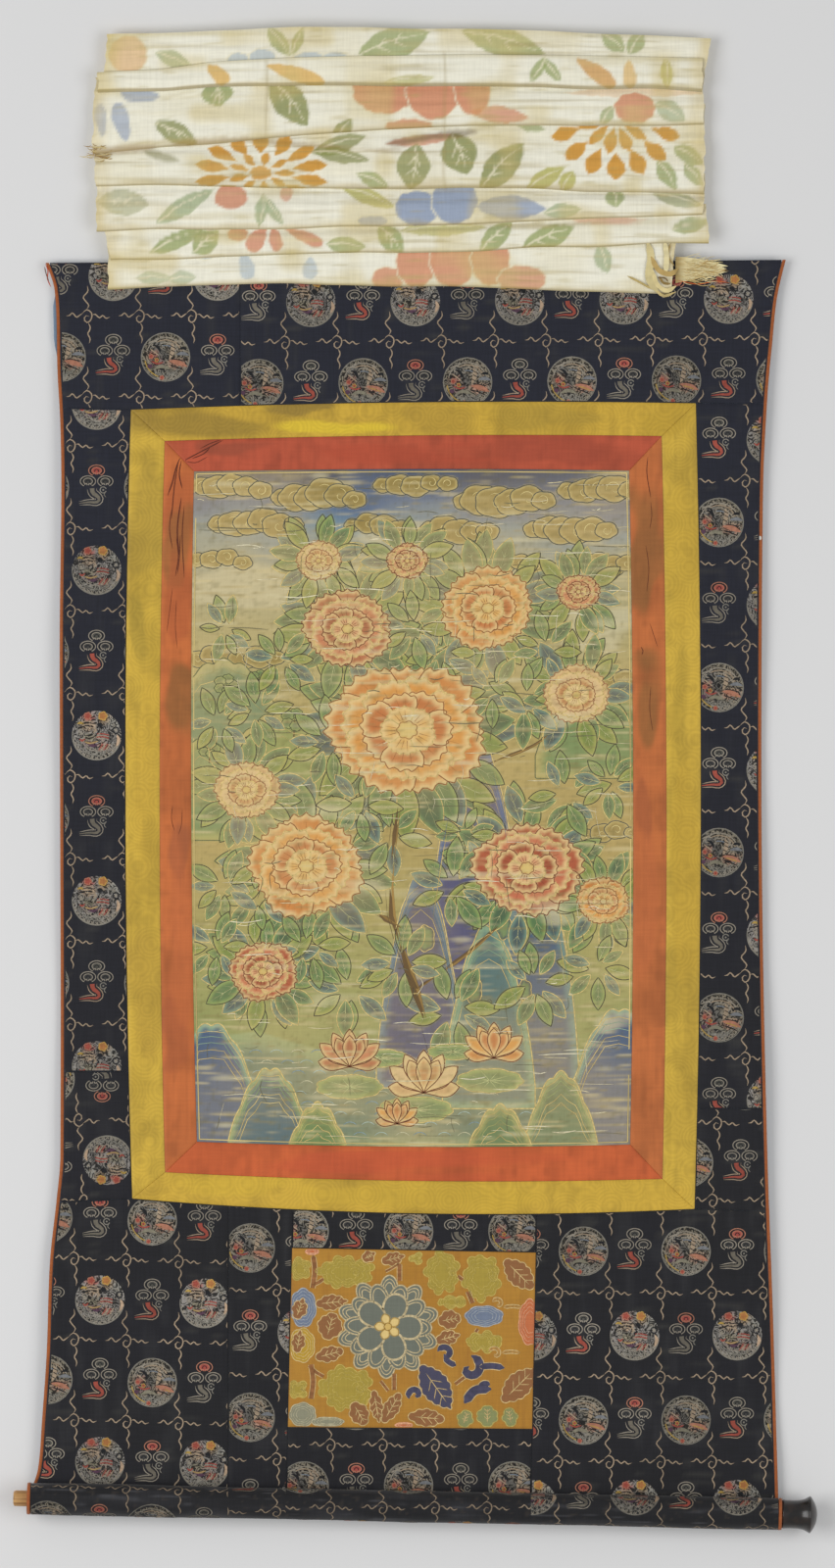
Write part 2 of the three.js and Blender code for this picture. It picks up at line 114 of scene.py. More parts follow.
# Top edge: (place across, height), and the seams that carry on from the yellow frame: (x, z) at both ends
TOP_EDGE = [(-360, -1.0), (-120, 0.4), (150, 0.2), (360, 1.9)]
HEAD_SEAM_ENDS = ((-350, -141.6), (345, -137.8))
FOOT_SEAM_ENDS = ((-352, -912.0), (346, -920.6))
TOP_SEAM_X = -170.0
FOOT_SEAM_X = -181.5
SIDE_SEAM_LEFT = -785.0
SIDE_SEAM_RIGHT = -821.0
DOOR_LEFT = [(-915, -118.8), (-956, -119.7), (-1130, -123.8), (-1205, -125.6)]
DOOR_RIGHT = [(-915, 117.4), (-960, 116.6), (-1131, 113.1), (-1205, 111.6)]
DOOR_TOP = [(-120, -956.2), (117, -960.5)]
DOOR_BOTTOM = [(-124, -1129.6), (113, -1131.5)]

# Nested frames: each side at its first end, bowed middle and last end
YELLOW_OUTER = {
    "left": (-276.0, -281.2, -274.6),
    "right": (271.7, 276.5, 270.5),
    "top": (-143.5, -136.3, -137.3),
    "bottom": (-908.2, -922.5, -918.3),
}
RED_OUTER = {
    "left": (-243.2, -248.0, -242.7),
    "right": (238.5, 243.2, 239.4),
    "top": (-173.9, -168.5, -169.1),
    "bottom": (-882.6, -891.0, -889.2),
}
PAINTING_OUTER = {
    "left": (-214.7, -217.5, -211.9),
    "right": (207.1, 211.0, 208.1),
    "top": (-203.3, -201.0, -202.4),
    "bottom": (-853.1, -858.0, -856.0),
}


# Lines and surfaces
def spot(column, row):
    """Millimetres across and up for a place in the photo."""
    return np.array([(column - MID_COLUMN) * PIXEL, (TOP_ROW - row) * PIXEL])


def smoothstep(value, low, high):
    """From 0 at the low value to 1 at the high one, eased at both."""
    t = np.clip((value - low) / (high - low), 0, 1)
    return t * t * (3 - 2 * t)


def smooth_line(rows):
    """A smooth line through (place, value) rows, read at any place along it."""
    at, value = np.array(sorted(rows), float).T
    order = np.arange(len(at))
    before = np.maximum(order - 1, 0)
    after = np.minimum(order + 1, len(at) - 1)
    slope = (value[after] - value[before]) / (at[after] - at[before])

    def read(place):
        i = np.clip(np.searchsorted(at, place) - 1, 0, len(at) - 2)
        span = at[i + 1] - at[i]
        t = np.clip((place - at[i]) / span, 0, 1)
        ease = t * t * (3 - 2 * t)
        lean = t * (1 - t) * ((1 - t) * slope[i] - t * slope[i + 1]) * span
        return value[i] + (value[i + 1] - value[i]) * ease + lean

    return read


def straight(x):
    """An edge that stays at one place."""
    return lambda at: x + 0 * at


def shifted(line, step):
    """The same edge, a step further across."""
    return lambda at: line(at) + step


def bowed(side, start, end):
    """A frame's side, bowed through its middle."""
    first, middle, last = side
    bow = middle - (first + last) / 2

    def read(at):
        t = (at - start) / (end - start)
        return first + (last - first) * t + 4 * t * (1 - t) * bow

    return read


def frame_sides(outer):
    """The four bowed sides of a nested frame, and its corners."""
    left, right, top, bottom = (outer[side] for side in ("left", "right", "top", "bottom"))
    return {
        "left": bowed(left, top[0], bottom[0]),
        "right": bowed(right, top[2], bottom[2]),
        "top": bowed(top, left[0], right[0]),
        "bottom": bowed(bottom, left[2], right[2]),
        "top_left": (left[0], top[0]),
        "top_right": (right[0], top[2]),
        "bottom_left": (left[2], bottom[0]),
        "bottom_right": (right[2], bottom[2]),
    }


def through(a, b):
    """A straight line through two (place, value) points, carried on past them."""
    return lambda at: a[1] + (b[1] - a[1]) * (at - a[0]) / (b[0] - a[0])


def turned_about(point):
    """The point with its two values exchanged."""
    return point[1], point[0]


def seam_across(side, left_corner, right_corner, ends):
    """A seam along one side of the yellow frame, carried on to the mount's sides."""
    before = through(ends[0], left_corner)
    after = through(right_corner, ends[1])

    def read(x):
        inner = np.where(x > right_corner[0], after(x), side(x))
        return np.where(x < left_corner[0], before(x), inner)

    return read


left_edge = smooth_line(LEFT_EDGE)
right_edge = smooth_line(RIGHT_EDGE)
top_edge = smooth_line(TOP_EDGE)
door_left = smooth_line(DOOR_LEFT)
door_right = smooth_line(DOOR_RIGHT)
door_top = smooth_line(DOOR_TOP)
door_bottom = smooth_line(DOOR_BOTTOM)
bound_left = shifted(left_edge, BINDING_WIDTH + BINDING_GAP)
bound_right = shifted(right_edge, -BINDING_WIDTH - BINDING_GAP)
yellow = frame_sides(YELLOW_OUTER)
red = frame_sides(RED_OUTER)
painting = frame_sides(PAINTING_OUTER)
head_seam = seam_across(yellow["top"], yellow["top_left"], yellow["top_right"], HEAD_SEAM_ENDS)
foot_seam = seam_across(yellow["bottom"], yellow["bottom_left"], yellow["bottom_right"], FOOT_SEAM_ENDS)
roll_axis = through((ROLL_LEFT_X, ROLL_LEFT_Z), (ROLL_RIGHT_X, ROLL_RIGHT_Z))
roll_line = shifted(roll_axis, ROLL_RISE)


def mottle(x, z, size, seed):
    """Smooth random values from -1 to 1 over the cloth, in patches of that size across and up."""
    side = 64
    table = np.random.default_rng(seed).uniform(-1, 1, (side, side))
    across = x / size[0]
    up = z / size[1]
    i = np.floor(across).astype(int)
    j = np.floor(up).astype(int)
    s = smoothstep(across - i, 0, 1)
    t = smoothstep(up - j, 0, 1)
    low = table[i % side, j % side] * (1 - s) + table[(i + 1) % side, j % side] * s
    high = table[i % side, (j + 1) % side] * (1 - s) + table[(i + 1) % side, (j + 1) % side] * s
    return low * (1 - t) + high * t


def wave(x, z):
    """How far the hanging cloth waves off its plane."""
    turn = 2 * math.pi
    broad = BROAD_WAVE * np.sin(turn * x / BROAD_ACROSS + 0.6) * np.cos(turn * z / BROAD_UP + 0.4)
    ripple = RIPPLE * np.sin(turn * (z / RIPPLE_UP + x / RIPPLE_ACROSS))
    at_side = smoothstep(np.abs(x), CURL_FROM, CURL_FULL)
    side_curl = SIDE_CURL * at_side * np.sin(turn * (z / CURL_UP + x / CURL_ACROSS))
    return (broad + ripple - side_curl) * smoothstep(z, STILL_BELOW, WAVES_ABOVE)


def face_y(x, z):
    """Depth of the face: the hanging waves, and small crumples that die out at the roller."""
    crumple = 0.3 * mottle(x, z, (46, 60), 3) + 0.16 * mottle(x, z, (13, 21), 4)
    return wave(x, z) - FACE_HALF + crumple * smoothstep(z, STILL_BELOW, CRUMPLES_ABOVE)


# Materials
def linear(code):
    """Linear light for an sRGB hex colour."""
    part = np.array([int(code[k:k + 2], 16) for k in (1, 3, 5)]) / 255
    return np.where(part <= 0.04045, part / 12.92, ((part + 0.055) / 1.055) ** 2.4)


def shade(code):
    """A node's colour for an sRGB hex colour."""
    return (*linear(code), 1.0)


def add(tree, kind, inputs=None, **settings):
    """A node with its settings; an input is a value or another node's output."""
    node = tree.nodes.new("ShaderNode" + kind)
    for key, value in settings.items():
        setattr(node, key, value)
    for key, value in (inputs or {}).items():
        if isinstance(value, bpy.types.NodeSocket):
            tree.links.new(value, node.inputs[key])
        else:
            node.inputs[key].default_value = value
    return node


def new_material(name):
    """A material with an empty node tree."""
    material = bpy.data.materials.new(name)
    material.use_nodes = True
    material.node_tree.nodes.clear()
    return material


def streaks(tree, size):
    """Uneven threads: noise in cells of that size in millimetres across, deep and up."""
    place = add(tree, "TexCoord").outputs["Object"]
    scale = [1000 / length for length in size]
    cells = add(tree, "Mapping", {"Vector": place, "Scale": scale}).outputs["Vector"]
    return add(tree, "TexNoise", {"Vector": cells, "Scale": 1.0, "Detail": 2.0}).outputs["Fac"]


def woven(name, colour, pitch, slub, relief, roughness, sheen=0.0, figure=None):
    """A cloth: dye in one colour or painted on as an attribute, uneven threads both ways, their relief."""
    material = new_material(name)
    tree = material.node_tree
    weft = streaks(tree, (pitch * 14, pitch * 14, pitch))
    warp = streaks(tree, (pitch, pitch * 14, pitch * 14))
    threads = add(tree, "Math", {0: weft, 1: warp}, operation="ADD").outputs[0]
    tone = add(tree, "Math", {0: threads, 1: slub, 2: 1 - slub}, operation="MULTIPLY_ADD").outputs[0]
    if figure:
        tone = add(tree, "Math", {0: tone, 1: figure(tree)}, operation="MULTIPLY").outputs[0]
    if colour.startswith("#"):
        dye = add(tree, "RGB").outputs[0]
        dye.default_value = shade(colour)
    else:
        dye = add(tree, "Attribute", attribute_name=colour).outputs["Color"]
    base = add(tree, "VectorMath", {0: dye, "Scale": tone}, operation="SCALE").outputs[0]
    bump = add(tree, "Bump", {"Height": threads, "Distance": relief * MM, "Strength": 0.6}).outputs[0]
    surface = {"Base Color": base, "Normal": bump, "Roughness": roughness, "Sheen Weight": sheen}
    shader = add(tree, "BsdfPrincipled", {**surface, "Sheen Roughness": 0.5, "Specular IOR Level": 0.25})
    add(tree, "OutputMaterial", {"Surface": shader.outputs[0]})
    return material


# Figures of the damask and their rings, and the noise cells of the looped threads, in millimetres;
# the turn in radians over the noise's whole range
DAMASK_PITCH = 26
DAMASK_RING = 3
LOOP_CELL = 7
LOOP_TURN = 40.0


def damask(tree):
    """Tone-on-tone rings of a damask weave, round figures in even cells."""
    place = add(tree, "TexCoord").outputs["Object"]
    flat = add(tree, "Mapping", {"Vector": place, "Scale": (1, 0, 1)}).outputs["Vector"]
    rings = add(tree, "TexVoronoi", {"Vector": flat, "Scale": 1000 / DAMASK_PITCH, "Randomness": 0.9})
    turns = 2 * math.pi * DAMASK_PITCH / DAMASK_RING
    phase = add(tree, "Math", {0: rings.outputs["Distance"], 1: turns}, operation="MULTIPLY").outputs[0]
    ring = add(tree, "Math", {0: phase}, operation="SINE").outputs[0]
    return add(tree, "Math", {0: ring, 1: 0.05, 2: 1.0}, operation="MULTIPLY_ADD").outputs[0]


def loops(tree):
    """Close loops of light and dark thread: contour lines of a noise, 2 to 3 mm apart."""
    place = add(tree, "TexCoord").outputs["Object"]
    cells = {"Vector": place, "Scale": 1000 / LOOP_CELL, "Detail": 1.0, "Distortion": 0.6}
    noise = add(tree, "TexNoise", cells).outputs["Fac"]
    phase = add(tree, "Math", {0: noise, 1: LOOP_TURN}, operation="MULTIPLY").outputs[0]
    line = add(tree, "Math", {0: phase}, operation="SINE").outputs[0]
    light = add(tree, "Math", {0: line, 1: 0.85, 2: 0.8}, operation="MULTIPLY_ADD").outputs[0]
    return add(tree, "Math", {0: light, 1: 0.12}, operation="MAXIMUM").outputs[0]


# Near-black blue silk satin of the mount, dulled by age; its threads are drawn coarse enough to show
BROCADE = woven("black-blue silk satin", "dye", 2.1, 0.55, 0.3, 0.74, 0.1)
# Silk and gilt-paper wefts brought to the face of the brocade, in dulled colours
WEFTS = woven("brocading silk wefts", "thread", 1.9, 0.5, 0.3, 0.75, 0.06)
# The same wefts packed close in the roundels, as looping threads
LOOPED_WEFTS = woven("looped brocading wefts", "thread", 1.9, 0.34, 0.3, 0.75, 0.06, loops)
# Yellow damask silk with water stains
YELLOW_SILK = woven("yellow damask silk", "dye", 2.2, 0.17, 0.2, 0.55, 0.2, damask)
# Plain red silk, rubbed and soiled
RED_SILK = woven("red silk", "dye", 2.2, 0.2, 0.2, 0.6, 0.15)
# Sized cotton with distemper paint, cracked across by rolling
PAINTED = woven("painted sized cotton", "paint", 2.0, 0.16, 0.2, 0.82)
# Gold and colour lines of the painting
PAINTED_LINES = woven("gold and colour paint lines", "thread", 2.2, 0.12, 0.1, 0.6)
# Figured brown-gold silk of the door
DOOR_SILK = woven("figured gold silk", "dye", 1.9, 0.24, 0.2, 0.6, 0.15)
# Orange silk binding, a close twill
BINDING = woven("orange silk binding", "#9c562c", 2.0, 0.55, 0.2, 0.75, 0.1)
# Blue cotton of the lining, faded and soiled
LINING = woven("blue cotton lining", "dye", 1.8, 0.24, 0.25, 0.9)
# Thin cream silk of the veil, resist dyed
VEIL_SILK = woven("dyed cream silk", "dye", 1.9, 0.19, 0.35, 0.75, 0.15)
# Loose silk threads
THREADS = woven("loose silk threads", "thread", 1.0, 0.2, 0.1, 0.7)


def two_toned(tree, value, low, high):
    """A colour that runs between two (value, colour) ends."""
    ramp = add(tree, "ValToRGB", {"Fac": value})
    for element, (position, code) in zip(ramp.color_ramp.elements, (low, high)):
        element.position = position
        element.color = shade(code)
    return ramp.outputs[0]


def grained_wood(name):
    """Pale dowel wood with long grain along the rod."""
    material = new_material(name)
    tree = material.node_tree
    grain = streaks(tree, (40, 2.2, 2.2))
    base = two_toned(tree, grain, (0.3, "#8a6034"), (0.7, "#c99c5f"))
    bump = add(tree, "Bump", {"Height": grain, "Distance": 0.2 * MM, "Strength": 0.5}).outputs[0]
    shader = add(tree, "BsdfPrincipled", {"Base Color": base, "Normal": bump, "Roughness": 0.6})
    add(tree, "OutputMaterial", {"Surface": shader.outputs[0]})
    return material


def lacquer(name):
    """Brown-black lacquer on turned wood, rubbed in places."""
    material = new_material(name)
    tree = material.node_tree
    wear = streaks(tree, (9, 9, 9))
    base = two_toned(tree, wear, (0.42, "#0c0908"), (0.78, "#2b1d15"))
    surface = {"Base Color": base, "Roughness": 0.28, "Coat Weight": 0.25, "Coat Roughness": 0.1}
    shader = add(tree, "BsdfPrincipled", surface)
    add(tree, "OutputMaterial", {"Surface": shader.outputs[0]})
    return material


DOWEL_WOOD = grained_wood("pale turned wood")
KNOB_LACQUER = lacquer("brown-black lacquer")


# Meshes
def grid_mesh(name, columns, rows):
    """A flat grid mesh, and the column and the row from the top that each of its points lies on."""
    bm = bmesh.new()
    bmesh.ops.create_grid(bm, x_segments=columns, y_segments=rows, size=0.5)
    mesh = bpy.data.meshes.new(name)
    bm.to_mesh(mesh)
    bm.free()
    flat = np.empty(3 * len(mesh.vertices))
    mesh.vertices.foreach_get("co", flat)
    column = np.rint((flat[0::3] + 0.5) * columns).astype(int)
    row = np.rint((0.5 - flat[1::3]) * rows).astype(int)
    return mesh, column, row


def set_points(mesh, x, y, z):
    """Moves the mesh's points to places in millimetres."""
    mesh.vertices.foreach_set("co", (np.column_stack((x, y, z)) * MM).ravel())
    mesh.update()


def tint(mesh, name, colours):
    """A colour for every point of the mesh."""
    layer = mesh.color_attributes.new(name, "FLOAT_COLOR", "POINT")
    layer.data.foreach_set("color", np.column_stack((colours, np.ones(len(colours)))).ravel())


def fit(name, mesh, material, slot, *nodes):
    """Puts a finished piece on the model in place of the nodes it stands for."""
    obj = bpy.data.objects.new(name, mesh)
    bpy.context.collection.objects.link(obj)
    mesh.materials.append(material)
    mesh.shade_smooth()
    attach(obj, "root")
    if nodes:
        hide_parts(*nodes)
    return obj


def seam_spacing(count, length):
    """Shares of a length: a narrow turned edge at both ends and even cells between them."""
    edge = SEAM_EDGE / length
    return np.concatenate(([0], np.linspace(edge, 1 - edge, count - 1), [1]))


def fill(edges, s, t, inset):
    """Places between four edges: s runs from left to right and t from top to bottom."""
    left, right, top, bottom = edges
    x = 0 * s
    z = 0 * s + (top(np.array(0.0)) + bottom(np.array(0.0))) / 2
    for _ in range(EDGE_PASSES):
        x = (left(z) + inset) * (1 - s) + (right(z) - inset) * s
        z = (top(x) - inset) * (1 - t) + (bottom(x) + inset) * t
    return x, z


def cloth(name, edges, step):
    """A sheet that fills four edges, its rim turned down into the seams, and where its points lie."""
    corners = np.array([0.0, 1.0, 0.5, 0.5]), np.array([0.5, 0.5, 0.0, 1.0])
    x, z = fill(edges, *corners, 0)
    width = x[1] - x[0]
    height = z[2] - z[3]
    columns = max(3, round(width / step))
    rows = max(3, round(height / step))
    mesh, column, row = grid_mesh(name, columns, rows)
    x, z = fill(edges, seam_spacing(columns, width)[column], seam_spacing(rows, height)[row], SEAM_INSET)
    rim = (column == 0) | (column == columns) | (row == 0) | (row == rows)
    set_points(mesh, x, face_y(x, z) + SEAM_DIP * rim, z)
    return mesh, x, z, (width * MM, height * MM)


# Strokes: flat strips of thread or paint with a width along them, in cloth millimetres
SAMPLES = 13
PATH_POINTS = 40
OUTLINE_PIECE = 24
LEAST_AREA = 0.01
PROFILES = {
    "even": lambda t: np.ones_like(t),
    "leaf": lambda t: np.sin(math.pi * t) ** 0.8,
    "disc": lambda t: np.sin(math.pi * t),
    "tail": lambda t: 1 - 0.85 * t,
    "tip": lambda t: np.minimum(1, 6 * t) * (1 - 0.8 * t),
    "point": lambda t: np.minimum(1, 5 * np.minimum(t, 1 - t) + 0.15),
}


def run_along(path):
    """The length run from a path's start up to each of its points."""
    return np.concatenate(([0], np.cumsum(np.hypot(*np.diff(path, axis=0).T))))


def read_along(path, run, at):
    """Points of a path at some lengths of its run."""
    return np.column_stack([np.interp(at, run, path[:, k]) for k in (0, 1)])


def bend(points):
    """A smooth path through a few points."""
    points = np.asarray(points, float)
    along = run_along(points)
    at = np.linspace(0, along[-1], PATH_POINTS)
    return np.column_stack([smooth_line(list(zip(along, points[:, k])))(at) for k in (0, 1)])


def stroke(path, width, colour, lift=0, profile="even"):
    """One strip along a path; a disc is a strip as wide as it is long."""
    path = np.asarray(path, float)
    along = run_along(path)
    t = np.linspace(0, 1, SAMPLES)
    share = (1 - np.cos(math.pi * t)) / 2 if profile == "disc" else t
    points = read_along(path, along, share * along[-1])
    half = width / 2 * PROFILES[profile](t)
    return points, half, np.tile(linear(colour), (SAMPLES, 1)), lift * LIFT_STEP


def outlined(outline, width, colour, lift):
    """Strips round a closed outline, in pieces short enough to keep its curves."""
    path = np.vstack((outline, outline[:1]))
    along = run_along(path)
    count = max(1, math.ceil(along[-1] / OUTLINE_PIECE))
    at = np.linspace(0, along[-1], count * (SAMPLES - 1) + 1)
    even = read_along(path, along, at)
    starts = range(0, count * (SAMPLES - 1), SAMPLES - 1)
    return [stroke(even[start:start + SAMPLES], width, colour, lift) for start in starts]


def disc(centre, width, height, colour, lift):
    """A filled round of thread."""
    u, v = centre
    return stroke([(u, v - height / 2), (u, v + height / 2)], width, colour, lift, "disc")


def arc(radius, start, end, centre=(0, 0), flat=1.0):
    """Points along an arc, in degrees anticlockwise from the right; flat is its height to its width."""
    angle = np.radians(np.linspace(start, end, 25))
    return np.column_stack((centre[0] + radius * np.cos(angle), centre[1] + flat * radius * np.sin(angle)))


def curl(centre, radius, start, turns):
    """A spiral that opens out from its centre."""
    t = np.linspace(0, 1, 30)
    angle = math.radians(start) + 2 * math.pi * turns * t
    reach = radius * (0.15 + 0.85 * t)
    return np.column_stack((centre[0] + reach * np.cos(angle), centre[1] + reach * np.sin(angle)))


def moved(strokes, across, up, bright=1.0):
    """The same strokes in another place, dimmed or brightened."""
    return [(points + (across, up), half, colour * bright, lift) for points, half, colour, lift in strokes]


def ribbons(name, strokes, place, wear=0.12):
    """One mesh of all the strips, laid on a surface by place, without what is squeezed flat at its edges."""
    points = np.array([item[0] for item in strokes])
    half = np.array([item[1] for item in strokes])[..., None]
    run = np.gradient(points, axis=1)
    run /= np.linalg.norm(run, axis=2, keepdims=True) + 1e-9
    side = np.stack((-run[..., 1], run[..., 0]), axis=2) * half
    rails = np.stack((points - side, points + side), axis=1)
    lift = np.broadcast_to(np.array([item[3] for item in strokes])[:, None, None], rails.shape[:3])
    x, y, z = place(rails[..., 0], rails[..., 1], lift)
    one = np.stack((x[:, 1, 1:] - x[:, 0, :-1], z[:, 1, 1:] - z[:, 0, :-1]))
    two = np.stack((x[:, 1, :-1] - x[:, 0, 1:], z[:, 1, :-1] - z[:, 0, 1:]))
    area = np.abs(one[0] * two[1] - one[1] * two[0]) / 2
    keep = np.zeros((2 * len(strokes), SAMPLES - 1), bool)
    keep[0::2] = area > LEAST_AREA
    bm = bmesh.new()
    bmesh.ops.create_grid(bm, x_segments=SAMPLES - 1, y_segments=2 * len(strokes) - 1, size=0.5)
    layer = bm.verts.layers.float_color.new("thread")
    where = np.stack((x, y, z), axis=3).reshape(-1, 3) * MM
    dye = np.array([item[2] for item in strokes])
    dye = dye * np.random.default_rng(7).uniform(1 - wear, 1 + wear, dye.shape[:2])[..., None]
    colours = np.stack((dye, dye), axis=1).reshape(-1, 3)
    for vert, point, colour in zip(bm.verts, where, colours):
        vert.co = point
        vert[layer] = (*colour, 1.0)
    gaps = [face for face, kept in zip(bm.faces, keep.ravel()) if not kept]
    bmesh.ops.delete(bm, geom=gaps, context="FACES")
    mesh = bpy.data.meshes.new(name)
    bm.to_mesh(mesh)
    bm.free()
    return mesh


def laid_on(edges, margin=1.0):
    """Lays strokes on the cloth between four edges and squeezes what runs past them."""
    left, right, top, bottom = edges

    def place(u, v, lift):
        x = u
        z = v
        for _ in range(4):
            x = np.clip(u, left(z) + margin, right(z) - margin)
            z = np.clip(v, bottom(x) + margin, top(x) - margin)
        return x, face_y(x, z) - THREAD_LIFT - lift, z

    return place


# Canvas: colours on the points of a fine cloth, laid down shape by shape
class Canvas:
    """The points of a cloth with a ground colour."""

    def __init__(self, x, z, ground):
        self.x = x
        self.z = z
        self.colour = np.tile(linear(ground), (len(x), 1))

    def blend(self, pick, share, colour):
        """Some points moved towards a colour, each by its share."""
        self.colour[pick] += (colour - self.colour[pick]) * share[:, None]

    def wash(self, share, code):
        """The same colour over the whole cloth, by a share at each point."""
        self.blend(slice(None), share, linear(code))

    def patch(self, centre, size, code, strength, rough):
        """A soft stain or bloom of dye with an uneven edge."""
        across = (self.x - centre[0]) / (size[0] / 2)
        up = (self.z - centre[1]) / (size[1] / 2)
        uneven = mottle(self.x, self.z, (size[0] / 4 + 4, size[1] / 4 + 4), 11)
        edge = np.hypot(across, up) + rough * uneven
        self.wash(strength * (1 - smoothstep(edge, 0.6, 1.1)), code)

    def shape(self, outline, core, rim=None, depth=6.0, soft=1.0, strength=1.0, allowed=None):
        """A closed outline, filled from its rim colour to its core colour."""
        low = outline.min(0) - soft
        high = outline.max(0) + soft
        near = (self.x > low[0]) & (self.x < high[0]) & (self.z > low[1]) & (self.z < high[1])
        if allowed is not None:
            near &= allowed
        pick = np.flatnonzero(near)
        if len(pick) == 0:
            return
        inside = reach_inside(self.x[pick], self.z[pick], outline)
        cover = np.clip(0.5 + inside / (2 * soft), 0, 1) * strength
        blend = smoothstep(inside, 0, depth)[:, None]
        self.blend(pick, cover, linear(rim or core) * (1 - blend) + linear(core) * blend)


def worn_patches(canvas, x, z, rows):
    """Washes in uneven patches: strength, patch size, seed, where a wash starts and is full, colour."""
    for strength, size, seed, low, high, code in rows:
        canvas.wash(strength * smoothstep(mottle(x, z, size, seed), low, high), code)


def reach_inside(x, z, outline):
    """Distance from each point to the outline, positive inside it."""
    ax, az = outline.T
    bx, bz = np.roll(outline, -1, axis=0).T
    px = x[:, None]
    pz = z[:, None]
    length = (bx - ax) ** 2 + (bz - az) ** 2 + 1e-9
    t = np.clip(((px - ax) * (bx - ax) + (pz - az) * (bz - az)) / length, 0, 1)
    gap = np.hypot(px - ax - t * (bx - ax), pz - az - t * (bz - az)).min(1)
    spans = (az > pz) != (bz > pz)
    crossing = ax + (pz - az) * (bx - ax) / np.where(bz == az, 1e-9, bz - az)
    odd = (spans & (px < crossing)).sum(1) % 2 == 1
    return np.where(odd, gap, -gap)


def polar(angle, reach):
    """A step of that reach, in degrees anticlockwise from the right."""
    return reach * np.array([math.cos(math.radians(angle)), math.sin(math.radians(angle))])


def heading(turn):
    """The direction turned in degrees from upright."""
    return np.array([math.sin(math.radians(turn)), math.cos(math.radians(turn))])


def stood(centre, turn, across, along):
    """A shape on its stalk, turned in degrees from upright."""
    angle = math.radians(turn)
    u = centre[0] + along * math.sin(angle) + across * math.cos(angle)
    v = centre[1] + along * math.cos(angle) - across * math.sin(angle)
    return np.column_stack((u, v))


LEAF_TIP = 13


def leaf(centre, turn, length, width, belly=0.5):
    """Outline of a pointed leaf or petal, from its foot to its tip and back."""
    t = np.linspace(0, 1, LEAF_TIP + 1)
    half = width / 2 * np.sin(math.pi * t ** (math.log(0.5) / math.log(belly))) ** 0.85
    across = np.concatenate((half, -half[-2:0:-1]))
    return stood(centre, turn, across, np.concatenate((t, t[-2:0:-1])) * length)


def egg(centre, turn, length, width):
    """Outline of a round petal, broadest near its outer end."""
    angle = np.linspace(0, 2 * math.pi, 28, endpoint=False)
    along = (1 - np.cos(angle)) / 2
    return stood(centre, turn, width / 2 * np.sin(angle) * (0.6 + 0.6 * along), along * length)


def scalloped(outline, pitch, depth):
    """The same outline with round lobes along it, about a pitch apart."""
    path = np.vstack((outline, outline[:1]))
    along = run_along(path)
    count = max(3, round(along[-1] / pitch))
    at = np.linspace(0, 1, 10 * count, endpoint=False)
    even = read_along(path, along, at * along[-1])
    run = np.roll(even, -1, axis=0) - np.roll(even, 1, axis=0)
    out = np.column_stack((run[:, 1], -run[:, 0])) / np.hypot(*run.T)[:, None]
    turn = np.sign((even[:, 0] * run[:, 1] - even[:, 1] * run[:, 0]).sum())
    return even + turn * depth * (np.abs(np.sin(math.pi * count * at)) - 0.5)[:, None] * out


def lobes(centre, width, height, count, depth=0.14, start=0.0):
    """Outline of a round shape with scalloped lobes."""
    angle = np.linspace(0, 2 * math.pi, 12 * count, endpoint=False)
    reach = 1 - depth + depth * np.abs(np.sin(count * (angle - math.radians(start)) / 2))
    u = centre[0] + width / 2 * reach * np.cos(angle)
    v = centre[1] + height / 2 * reach * np.sin(angle)
    return np.column_stack((u, v))


# Brocade: the colours of its wefts
TAN = "#a08d76"
GREY = "#7f7b71"
PALE = "#928a7c"
DARK = "#1b1c1f"
SLATE = "#3c3b3a"
RED = "#98483c"
PINK = "#a9735c"
GOLD = "#a98c46"
BLUE = "#737c86"
PLUM = "#54394a"


def lattice_crossing():
    """A loop where the lattice lines meet, with a wavy arm on each side."""
    paths = [
        [(-4.9, 3), (-0.7, 6.8), (4.2, 3.4), (3.8, -2.4), (0.2, -5.8), (-3.2, -2.6), (-1.2, 1), (1.8, 0.2)],
        [(-4.4, 3.4), (-7.6, 1.2), (-10.5, -0.6), (-12.4, 1.6), (-14.6, 3.6), (-17.2, 1.2), (-20.5, 0.8)],
        [(4.6, 1.6), (7.4, 2.4), (9.6, 0.6), (11.8, -1.1), (13.6, 0.2), (15.3, 1.2), (18, -1.6), (22, -0.4)],
        [(-0.7, 6.8), (1.5, 10.8), (-1.6, 15), (-4.0, 18.8), (-1.4, 22), (0.7, 25), (0, 30)],
        [(0.6, -5.6), (2.8, -10), (2.2, -13.4), (0.4, -16.4), (2.0, -19.6), (2.8, -22), (1.8, -26)],
    ]
    return [stroke(bend(path), 1.2, TAN, 1, "point") for path in paths]


def cloud_head(centre, width, fill_code, ring_code):
    """One scrolled head of a cloud: thin light rings on a dark filled middle, with a curl at its foot."""
    u, v = centre
    made = [disc(centre, width * 0.66, width * 0.46, fill_code, 2)]
    rings = [(0.48, 0.9, ring_code, 3), (0.37, 0.9, DARK, 3), (0.28, 0.8, ring_code, 4)]
    for reach, thick, code, lift in rings:
        made.append(stroke(arc(width * reach, -60, 90, centre, 0.7), thick, code, lift))
        made.append(stroke(arc(width * reach, 90, 240, centre, 0.7), thick, code, lift))
    made.append(stroke(arc(width * 0.12, 220, -40, (u, v - 0.4), 0.8), 0.8, DARK, 5))
    for side in (-1, 1):
        foot = [(u + 3.4 * side, v - 3.2), (u + 1.4 * side, v - 2.2), (u + 0.6 * side, v - 3.8)]
        made.append(stroke(bend(foot), 0.9, ring_code, 5))
    return made


